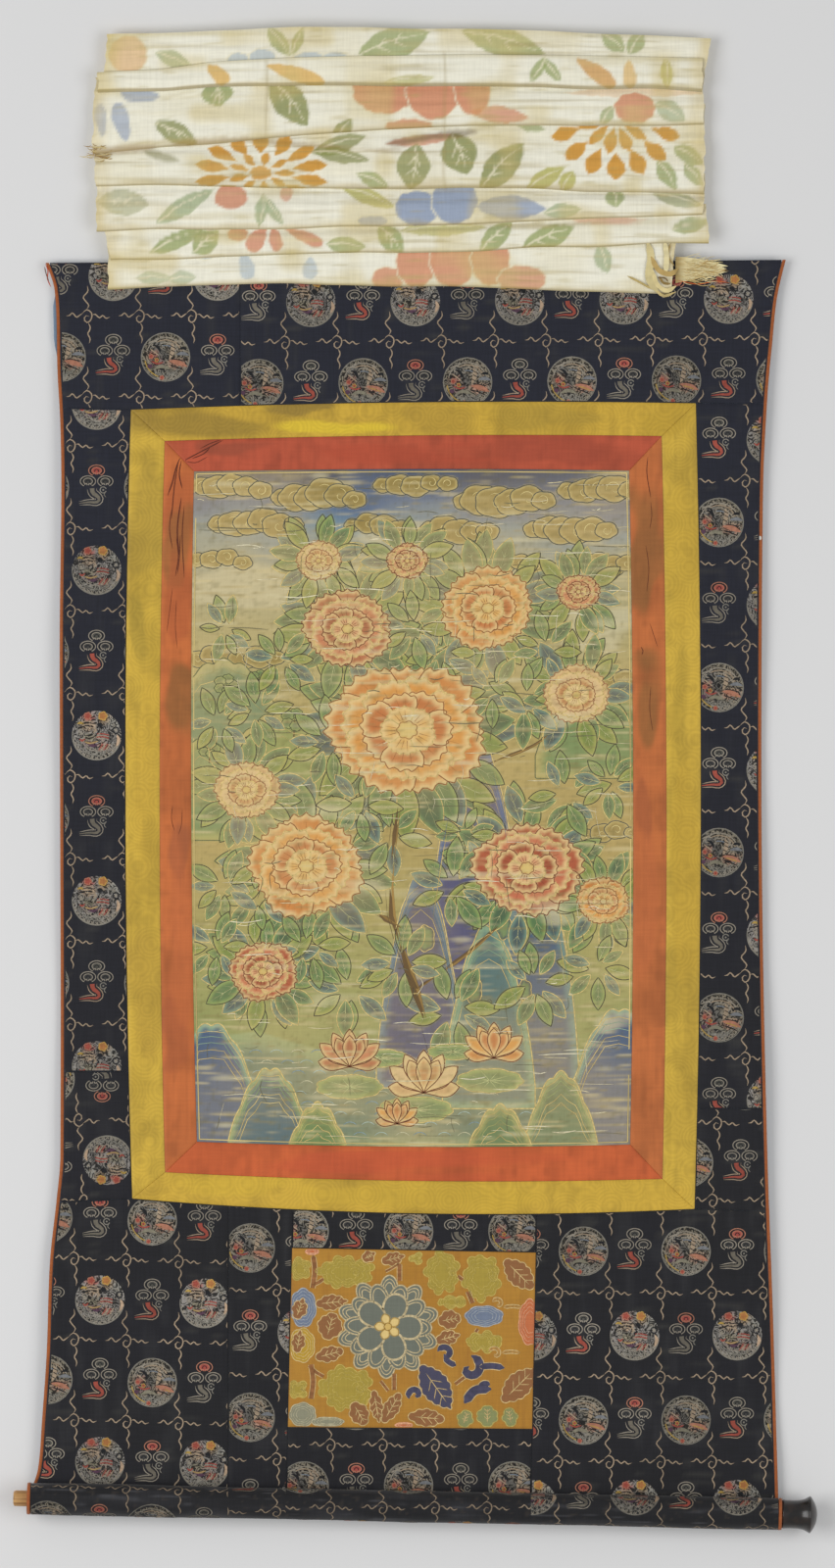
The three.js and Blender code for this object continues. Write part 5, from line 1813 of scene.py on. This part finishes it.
def veil_motif(band, kind, code, strength, u, v, turn, length, width):
    """A leaf, a petal or a broad round petal, dyed on one band of the veil."""
    middle = on_veil((u, v))
    length *= VEIL_GRID
    width *= VEIL_GRID
    along = heading(turn)
    foot = middle - along * length / 2
    if kind == "leaf":
        outline = leaf(foot, turn, length, width, 0.48)
    elif kind == "petal":
        outline = egg(foot, turn, length, width)
    else:
        rim = lobes(middle, width + RESIST_RIM, length + RESIST_RIM, 9, 0.05, u)
        veil.shape(rim, V_RESIST, None, 1.0, 0.7, 0.85, veil_band == band)
        outline = lobes(middle, width, length, 9, 0.05, u)
    veil.shape(outline, code, None, 2.0, 0.8, strength * 0.9, veil_band == band)
    if kind == "leaf" and width > 10 and code in VEIL_GREENS:
        resist_line(band, foot + 0.08 * length * along, foot + 0.9 * length * along, 1.5)
        for share in (0.3, 0.52) if width > 20 else ():
            rib = foot + share * length * along
            for side in (-38, 38):
                resist_line(band, rib, rib + 0.34 * width * heading(turn + side), 1.2)


for band, rows in VEIL_MOTIFS.items():
    for row in rows:
        veil_motif(band, *row)

# Chrysanthemums: heart, reach across and up, rings as (first and last share of the reach, petals,
# petal width), first and last turn
for heart, wide, tall, rings, first, last in [
    ((488, 404), 186, 114, ((0.46, 1.0, 14, 16.0), (0.17, 0.5, 9, 9.6)), 0, 360),
    ((1456, 254), 186, 170, ((0.54, 1.0, 9, 19.0), (0.14, 0.58, 7, 13.5)), 84, 276),
]:
    for inner, outer, count, width in rings:
        for turn in np.linspace(first, last, count, endpoint=last - first < 360) + 11 * (outer < 1):
            angle = math.radians(turn)
            point = np.array([wide * math.sin(angle), -tall * math.cos(angle)])
            tip = on_veil(np.array(heart) + point * outer)
            foot = on_veil(np.array(heart) + point * inner)
            lean = math.degrees(math.atan2(*(tip - foot)))
            slim = width * (1 - 0.3 * abs(math.sin(angle)))
            petal = leaf(foot, lean, np.hypot(*(tip - foot)), slim, 0.58)
            veil.shape(petal, V_GOLD, V_HONEY, 2.4, 0.6, 0.95, veil_band == 4)
veil.shape(lobes(on_veil((488, 404)), 21, 14, 9, 0.12), V_GOLD, V_HONEY, 2.4, 0.7, 0.9, veil_band == 4)

# Age and painted shade: yellowed sides, folds yellowed and partly shaded by paint towards their edges, a
# painted shadow line at each fold's edge, brown at the torn left tip, a dark tear, level creases darkened as
# painted shade, two pressed folds
veil.wash(0.6 * smoothstep(away, 0.465, 0.5) * (0.8 + 0.3 * mottle(veil_x, veil_z, (9, 14), 85)), "#cdb670")
# Folds yellowed towards their lower edges, with painted shade in the fold; the top of each seen band darkened
# as painted shade under the fold above, with some soil
near_turn = fallen + 0.05 * mottle(veil_x, veil_z, (20, 6), 91)
veil.wash(0.45 * in_view * smoothstep(near_turn, 0.88, 1.0), "#bda764")
veil.wash(0.4 * in_view * (1 - smoothstep(fallen, 0.0, 0.16)), "#c3b684")
worn_patches(veil, veil_x, veil_z, [
    (0.3, (90, 5), 86, 0.3, 0.9, "#c4b47c"), (0.45, (30, 24), 92, 0.1, 0.9, "#d0bd7a"),
])
# Painted shadow: a dark line along the lower edge of each fold
veil.wash(0.5 * in_view * smoothstep(fallen, 0.965, 1.0), "#7f6d38")
# Painted shade of level creases: thin darker lines across the seen bands
worn_patches(veil, veil_x, veil_z, [
    (0.4 * in_view, (110, 2.6), 96, 0.5, 0.95, "#a5935a"),
    (0.35 * in_view, (24, 3.2), 98, 0.5, 0.95, "#b5a566"),
])
VEIL_MARKS = [
    ("#a0845a", 0.5, [(0, 346), (60, 332), (180, 326), (190, 340), (90, 352), (10, 362)]),
    ("#7d7a3c", 0.6, [(170, 340), (240, 352), (262, 372), (200, 366)]),
    ("#6f5a3c", 0.6, [(830, 320), (900, 304), (1010, 286), (1076, 288), (1040, 304), (930, 316), (860, 330)]),
    ("#9a7a3c", 0.45, [
        (260, 318), (420, 306), (620, 320), (800, 344), (860, 336), (640, 338), (430, 320), (280, 330),
    ]),
    ("#a48a4c", 0.4, [(330, 414), (470, 404), (600, 396), (620, 402), (480, 414), (350, 424)]),
]
for code, strength, points in VEIL_MARKS:
    veil.shape(rounded(on_veil(points)), code, None, 2.0, 2.0, strength, in_view)
for fold_x, top, bottom in [(spot(272, 0)[0], 192, 121), (spot(454, 0)[0], 200, 73)]:
    crease = np.exp(-((veil_x - fold_x - 1.5 * mottle(veil_z, veil_x, (30, 900), 94)) / 1.4) ** 2)
    ends = smoothstep(veil_z, bottom - 6, bottom) * (1 - smoothstep(veil_z, top, top + 6))
    veil.wash(0.35 * crease * ends, "#a4925c")
tint(mesh, "dye", veil.colour)
veil_cloth = fit("folded_veil", mesh, VEIL_SILK, "veil_silk", "veil")

# Torn end of the veil: a crumpled flap that thins out into fibres
# Its cut narrows from 25.5 to 6.5 mm over 48 mm
flap_edges = (straight(252.0), straight(300.0), straight(4.5), straight(-21.0))
TORN_COLUMNS = 48
TORN_ROWS = 26
mesh, column, row = grid_mesh("torn_end", TORN_COLUMNS, TORN_ROWS)
s = column / TORN_COLUMNS
t = row / TORN_ROWS
flap_x, flap_z = fill(flap_edges, s, t, 0)
flap_x = flap_x + 7 * mottle(flap_z, flap_x, (2.2, 90), 91) * smoothstep(s, 0.45, 1.0)
flap_z = flap_z - 9 * (1 - t) * s * s + 10 * t * s
crumple = 0.9 * mottle(flap_x, flap_z, (9, 5), 92) + 0.4 * mottle(flap_x, flap_z, (20, 2.4), 97)
set_points(mesh, flap_x, wave(flap_x, flap_z) - 2.2 + crumple, flap_z)
torn = Canvas(flap_x, flap_z, "#dfd3a4")
torn.wash(0.5 * smoothstep(mottle(flap_x, flap_z, (16, 2.4), 93), 0, 0.8), "#b5985a")
torn.wash(0.8 * (1 - smoothstep(s, 0.02, 0.22)), "#9a8048")
tint(mesh, "dye", torn.colour)
flap = fit("torn_end", mesh, VEIL_SILK, "veil_silk", "veil_torn_end")

# Frayed threads and the twisted corner, its strips shaded with browner tones as painted shadow and paler ones
# as painted highlight: points as photo column and row, width, colour
RIGHT_FRAYS = 90
LEFT_FRAYS = 50
rng = np.random.default_rng(95)
frays = []
for number in range(RIGHT_FRAYS):
    start = np.array([rng.uniform(694, 726), rng.uniform(264, 288)])
    end = start + (rng.uniform(8, 20), rng.uniform(-7, 5))
    middle = (start + end) / 2 + (0, rng.uniform(-3, 3))
    frays.append(([start, middle, end], 0.5, ("#dccb94", "#b8975a", "#cbb57c", "#e2d6a8")[number % 4]))
for number in range(LEFT_FRAYS):
    start = np.array([rng.uniform(92, 116), rng.uniform(148, 164)])
    end = start - (rng.uniform(4, 14), rng.uniform(-3, 3))
    middle = (start + end) / 2 + (0, 1)
    frays.append(([start, middle, end], 0.5, ("#a58a56", "#c9b57c", "#94733f")[number % 3]))
frays += [
    # The twisted corner: cream strips, browner ones laid as painted shadow and the palest as painted
    # highlight, to shape the bunch
    ([(660, 246), (664, 262), (662, 284), (672, 300)], 7.0, "#cfc08c"),
    ([(678, 246), (680, 262), (679, 280)], 5.0, "#ddd0a0"),
    ([(664, 262), (672, 276), (684, 280), (692, 274)], 5.0, "#b89c60"),
    ([(666, 276), (670, 290), (680, 297), (690, 292)], 4.2, "#d9c891"),
    ([(672, 282), (677, 289), (684, 290)], 2.4, "#8f7642"),
    ([(660, 270), (664, 288), (676, 302), (690, 298)], 2.6, "#c9b47a"),
    ([(671, 284), (678, 284), (682, 288)], 1.4, "#6f5a34"),
    ([(684, 248), (682, 262), (688, 272)], 1.6, "#9c8450"),
    ([(640, 282), (652, 288), (666, 296)], 2.0, "#b9a468"),
    ([(690, 286), (712, 290), (730, 287), (745, 289)], 0.8, "#c8642c"),
    ([(46.4, 269), (49, 276), (48.4, 284), (52, 293)], 1.1, "#b5482a"),
    ([(45.4, 272), (47, 279), (50, 288)], 0.9, "#5d3426"),
    ([(775, 547), (776, 549), (775, 551)], 2.0, "#c9c5bc"),
]


# How far the front of each cloth stands out under the loose threads
MOUNT_FRONT = 1.2
FLAP_FRONT = 3.3
CORNER_FRONT = 6.6
TIP_FRONT = 4.6


def in_front(u, v, lift):
    """Loose threads lie on the cloth behind them: the mount, the torn flap or the front of the veil."""
    on_flap = FLAP_FRONT * smoothstep(u, 246, 256) * smoothstep(v, -25, -20)
    in_corner = smoothstep(u, 196, 204) * (1 - smoothstep(u, 250, 258)) * smoothstep(v, -37, -30)
    on_corner = CORNER_FRONT * in_corner
    on_tip = TIP_FRONT * (1 - smoothstep(u, -280, -270)) * smoothstep(v, 60, 80)
    front = np.maximum.reduce([MOUNT_FRONT + 0 * u, on_flap, on_corner, on_tip])
    return u, wave(u, np.minimum(v, 0)) - front - lift, v


strokes = [
    stroke(bend([spot(*point) for point in points]), width, code, k % 12, "point")
    for k, (points, width, code) in enumerate(frays)
]
fray_piece = fit("frayed_threads", ribbons("frayed_threads", strokes, in_front), THREADS, "veil_silk")


# Bindings along the sides, and the lining behind
KNOT_HEIGHT = 0.12
KNOT_PITCH = 5.5
LINING_INSET = 1.5
LINING_PEEP = 4.6
LINING_COLUMNS = 90
LINING_ROWS = 150


def rolled_strip(name, inner, outer, node):
    """A narrow binding with a rounded face, from the top edge to the roller."""
    columns = 6
    rows = 300
    mesh, column, row = grid_mesh(name, columns, rows)
    x, z = fill((inner, outer, top_edge, roll_line), column / columns, row / rows, 0.05)
    bulge = np.sin(math.pi * column / columns)
    knots = KNOT_HEIGHT * np.sin(2 * math.pi * z / KNOT_PITCH)
    set_points(mesh, x, wave(x, z) - (BINDING_HALF + knots) * bulge + 0.3, z)
    return fit(name, mesh, BINDING, "binding_silk", node)


bindings = [
    rolled_strip("left_binding", left_edge, shifted(left_edge, BINDING_WIDTH), "edge_binding_left"),
    rolled_strip("right_binding", shifted(right_edge, -BINDING_WIDTH), right_edge, "edge_binding_right"),
]


def lining_left(z):
    """The lining peeps out beyond the left binding near the top."""
    peep = LINING_PEEP * smoothstep(z, -104, -72) * (1 - smoothstep(z, -46, -24))
    return left_edge(z) + LINING_INSET - peep


mesh, column, row = grid_mesh("cotton_lining", LINING_COLUMNS, LINING_ROWS)
edges = (lining_left, shifted(right_edge, -LINING_INSET), shifted(top_edge, -LINING_INSET), roll_line)
x, z = fill(edges, column / LINING_COLUMNS, row / LINING_ROWS, SEAM_INSET)
set_points(mesh, x, wave(x, z) + LINING_BEHIND + 0.15 * mottle(x, z, (40, 40), 101), z)
faded = Canvas(x, z, "#76889c")
worn_patches(faded, x, z, [
    (0.5, (90, 120), 102, 0, 0.9, "#8d9aa6"), (0.4, (60, 26), 103, 0.2, 0.9, "#6b7680"),
    (0.35, (30, 40), 104, 0.4, 0.95, "#8a8468"),
])
tint(mesh, "dye", faded.colour)
lining = fit("cotton_lining", mesh, LINING, "lining_cotton", "back_lining")

# Roller: wound brocade with its wefts, bound ends, dowel and knob, on one tilted axis; the wound cloth
# swells by (share of the length, share of the radius)
roll_length = math.hypot(ROLL_RIGHT_X - ROLL_LEFT_X, ROLL_RIGHT_Z - ROLL_LEFT_Z)
roll_slope = (ROLL_RIGHT_Z - ROLL_LEFT_Z) / (ROLL_RIGHT_X - ROLL_LEFT_X)
DENT_DEPTH = 0.25
SWELLS = [(0.0, 1.0), (0.14, 1.02), (0.31, 0.985), (0.52, 1.0), (0.7, 0.99), (0.86, 1.015), (1.0, 1.0)]
swell = smooth_line(SWELLS)


def round_roll(along, angle, lift):
    """A place on the roll: along its axis, and round it in radians from the top over the front."""
    share = np.clip(along / roll_length, 0, 1)
    dents = 0.3 * mottle(along, 9 * angle, (34, 6), 111) + 0.25 * mottle(along, 20 * angle, (60, 9), 112)
    radius = ROLL_RADIUS * swell(share) - DENT_DEPTH + dents + lift
    x = ROLL_LEFT_X + along / math.hypot(1, roll_slope)
    return x, -ROLL_FORWARD - radius * np.sin(angle), roll_axis(x) + radius * np.cos(angle)


# Wound cloth: its mesh, the turns in radians where it meets the mount and where its wefts end, their margin
ROLL_COLUMNS = 300
ROLL_ROWS = 60
MEETS_ROLL = -0.9
WEFTS_END = 3.4
WEFT_MARGIN = 0.6
mesh, column, row = grid_mesh("wound_brocade", ROLL_COLUMNS, ROLL_ROWS)
woven_start = ROLL_BINDING + PART_GAP
along = woven_start + (roll_length - 2 * woven_start) * column / ROLL_COLUMNS
angle = 2 * math.pi * row / ROLL_ROWS + MEETS_ROLL
x, y, z = round_roll(along, angle, 0 * along)
set_points(mesh, x, y, z)
rubbed = Canvas(along, ROLL_RADIUS * angle, "#1a1a1d")
worn_patches(rubbed, along, 20 * angle, [
    (0.6, (60, 9), 112, 0.1, 0.9, "#2f2f33"), (0.7, (26, 3), 113, 0.5, 0.95, "#46464a"),
    (0.5, (4, 4), 114, 0.5, 0.95, "#3c352f"),
])
tint(mesh, "dye", rubbed.colour)
wound = fit("wound_brocade", mesh, BROCADE, "brocade", "brocade_roll")


def wound_on(left, right, turn):
    """Lays strokes of one cut of brocade round the roll, from the turn where its pattern starts."""
    low = woven_start + WEFT_MARGIN
    high = roll_length - woven_start - WEFT_MARGIN

    def place(u, v, lift):
        x = np.clip(u, left, right)
        along = np.clip((x - ROLL_LEFT_X) * math.hypot(1, roll_slope), low, high)
        angle = np.clip(turn - (v - roll_line(x)) / ROLL_RADIUS, MEETS_ROLL + 0.1, WEFTS_END)
        return round_roll(along, angle, THREAD_LIFT + lift)

    return place


# Cuts that run on round the roll: left and right end, and the turn in radians at which they start
DOOR_FOOT_LEFT = DOOR_LEFT[-1][1]
DOOR_FOOT_RIGHT = DOOR_RIGHT[-1][1]
FOOT_CUTS = [
    ("bottom_left", -380.0, FOOT_SEAM_X, -0.15), ("bottom_left_inner", FOOT_SEAM_X, DOOR_FOOT_LEFT, -1.1),
    ("below_door", DOOR_FOOT_LEFT, DOOR_FOOT_RIGHT, -0.3), ("bottom_right", DOOR_FOOT_RIGHT, 360.0, -0.05),
]
ROLL_PATTERN_LOW = -1260.0
ROLL_PATTERN_HIGH = -1185.0
ROLL_DIM = 0.72
cuts = {cut[0]: cut for cut in BROCADE_CUTS}
for cut, left, right, turn in FOOT_CUTS:
    _, _, anchor, lean, pitch, swap, _ = cuts[cut]
    box = ((left, ROLL_PATTERN_LOW), (right, ROLL_PATTERN_HIGH))
    grounds, threads = brocade_cells(spot(*anchor), lean, pitch, swap, box, ROLL_DIM)
    for part, strokes, material in (("roundels", grounds, LOOPED_WEFTS), ("wefts", threads, WEFTS)):
        name = f"roll_{cut}_{part}"
        mesh = ribbons(name, strokes, wound_on(left, right, turn), 0.3)
        fit(name, mesh, material, "brocade")


# Turned profiles as (along, radius) rows: the dowel's rounded end, the knob's foot, neck and grooved rim;
# then its domed end, and the rings that the turns of cloth leave on the bound ends
TURNED_SIDES = 64
DOWEL_END = [(0.0, 0.0), (0.0, 5.6), (0.5, 6.9), (1.6, 7.6), (4, DOWEL_RADIUS)]
KNOB_NECK = [(1.2, 14.0), (8, 13.7), (15, 13.9), (20, 14.7), (23.5, 16.2), (26, 17.7)]
KNOB_RIM = [(25.8, 17.2), (26.0, 17.7), (26.6, 18.0), (27.3, 17.9)]
KNOB_FOOT = [(0.0, 12.9), (0.4, 13.7)]
KNOB_LENGTH = 34.0
DOME_RADIUS = 27.3
DOME_RISE = 6.3
RING_RADII = np.arange(8.4, 15.2, 0.6)
RING_DEPTH = 0.7


def turned(name, profile, material, slot, node):
    """A piece turned about the roller's axis from (along, radius) rows."""
    bm = bmesh.new()
    verts = [bm.verts.new((along * MM, 0, radius * MM)) for along, radius in profile]
    edges = [bm.edges.new(pair) for pair in zip(verts, verts[1:])]
    bmesh.ops.spin(
        bm, geom=verts + edges, cent=(0, 0, 0), axis=(1, 0, 0), angle=2 * math.pi,
        steps=TURNED_SIDES, use_merge=True,
    )
    bmesh.ops.remove_doubles(bm, verts=bm.verts, dist=1e-6)
    bmesh.ops.recalc_face_normals(bm, faces=bm.faces)
    lean = math.atan(roll_slope)
    for vert in bm.verts:
        x, y, z = vert.co
        vert.co = (
            ROLL_LEFT_X * MM + x * math.cos(lean) - z * math.sin(lean),
            y - ROLL_FORWARD * MM,
            ROLL_LEFT_Z * MM + x * math.sin(lean) + z * math.cos(lean),
        )
    mesh = bpy.data.meshes.new(name)
    bm.to_mesh(mesh)
    bm.free()
    return fit(name, mesh, material, slot, node)


def wound_end(start, outward):
    """The bound end of the roll: turns of cloth show as rings on its outer face."""
    face = start if outward < 0 else start + ROLL_BINDING
    inner = start + ROLL_BINDING if outward < 0 else start
    hole = ROLL_BORE + 0.1
    rings = [(face - outward * RING_DEPTH * (step % 2), radius) for step, radius in enumerate(RING_RADII)]
    return [
        (inner, hole), (face, hole), *rings, (face, ROLL_RADIUS - 0.5), (face - outward, ROLL_RADIUS),
        (inner, ROLL_RADIUS), (inner, hole),
    ]


right_end = roll_length - ROLL_BINDING
turned("left_wound_end", wound_end(0.0, -1), BINDING, "binding_silk", "roll_binding_left")
turned("right_wound_end", wound_end(right_end, 1), BINDING, "binding_silk", "roll_binding_right")
knob_start = roll_length + PART_GAP
socket_end = knob_start + KNOB_SOCKET
dowel_profile = [
    *[(-DOWEL_STICKS_OUT + along, radius) for along, radius in DOWEL_END],
    (socket_end - PART_GAP, DOWEL_RADIUS), (socket_end - PART_GAP, 0.0),
]
turned("wooden_dowel", dowel_profile, DOWEL_WOOD, "dowel_wood", "dowel")

# Knob: a straight neck that flares to a rim with a fine groove, and a shallow domed end
neck = smooth_line(KNOB_NECK)
neck_rows = [(along, float(neck(along))) for along in np.linspace(1.2, 25.6, 26)]
knob_end = knob_start + KNOB_LENGTH
knob_profile = [
    (socket_end, 0.0), (socket_end, ROLL_BORE), (knob_start, ROLL_BORE),
    *[(knob_start + along, radius) for along, radius in KNOB_FOOT + neck_rows + KNOB_RIM],
]
for drop in np.linspace(DOME_RISE, 0.05, 16):
    knob_profile.append((knob_end - drop, math.sqrt(2 * DOME_RADIUS * drop - drop * drop)))
knob_profile.append((knob_end, 0.0))
turned("turned_knob", knob_profile, KNOB_LACQUER, "knob_lacquer", "knob")


# Stage: a pale wall behind, which can be looked through from its back
def wall_material():
    """Pale paint that is clear from behind and casts no shadow."""
    material = new_material("pale grey wall")
    tree = material.node_tree
    back = add(tree, "NewGeometry").outputs["Backfacing"]
    shadow = add(tree, "LightPath").outputs["Is Shadow Ray"]
    hidden = add(tree, "Math", {0: back, 1: shadow}, operation="MAXIMUM").outputs[0]
    paint = add(tree, "BsdfDiffuse", {"Color": shade("#dedede")}).outputs[0]
    clear = add(tree, "BsdfTransparent").outputs[0]
    mixed = add(tree, "MixShader", {0: hidden, 1: paint, 2: clear}).outputs[0]
    add(tree, "OutputMaterial", {"Surface": mixed})
    return material


WALL_SIZE = 8000.0
WALL_BEHIND = 10.0
mesh, column, row = grid_mesh("wall", 1, 1)
set_points(mesh, WALL_SIZE * (column - 0.5), 0 * column + WALL_BEHIND, WALL_SIZE * (0.5 - row))
mesh.materials.append(wall_material())
wall = bpy.data.objects.new("wall", mesh)
bpy.context.collection.objects.link(wall)


def area_light(name, place, aim, size, power):
    """A soft lamp that faces its aim."""
    light = bpy.data.lights.new(name, "AREA")
    light.shape = "RECTANGLE"
    light.size = size[0]
    light.size_y = size[1]
    light.energy = power
    lamp = bpy.data.objects.new(name, light)
    bpy.context.collection.objects.link(lamp)
    lamp.location = place
    direction = np.array(aim) - np.array(place)
    yaw = math.atan2(-direction[0], direction[1])
    pitch = math.atan2(direction[2], math.hypot(direction[0], direction[1]))
    lamp.rotation_euler = (math.pi / 2 + pitch, 0, yaw)


# Lamps: name, place, aim, width and height in metres, power in watts
LAMPS = [
    ("soft box left", (-2.6, -3.2, -0.7), (0, 0, -0.6), (2.4, 2.8), 80),
    ("soft box right", (2.8, -3.4, -1.0), (0, 0, -0.7), (2.4, 2.8), 53),
    ("soft box behind", (-1.8, 2.6, 0.6), (0, 0, -0.5), (2.0, 2.0), 40),
]
for row in LAMPS:
    area_light(*row)

world = bpy.data.worlds.new("pale room")
bpy.context.scene.world = world
world.use_nodes = True
background = world.node_tree.nodes["Background"]
background.inputs["Color"].default_value = shade("#e6e6e6")
background.inputs["Strength"].default_value = 0.55

# Camera: far off, straight in front of the photo's middle; lens and sensor in millimetres
LENS = 250
SENSOR = 36
camera_data = bpy.data.cameras.new("camera")
camera_data.lens = LENS
camera_data.sensor_width = SENSOR
camera = bpy.data.objects.new("camera", camera_data)
bpy.context.collection.objects.link(camera)
middle = spot(PHOTO_WIDTH / 2, PHOTO_HEIGHT / 2) * MM
camera.location = (middle[0], -PHOTO_HEIGHT * PIXEL * MM * LENS / SENSOR, middle[1])
camera.rotation_euler = (math.pi / 2, 0, 0)
bpy.context.scene.camera = camera
bpy.context.scene.view_settings.view_transform = "Standard"
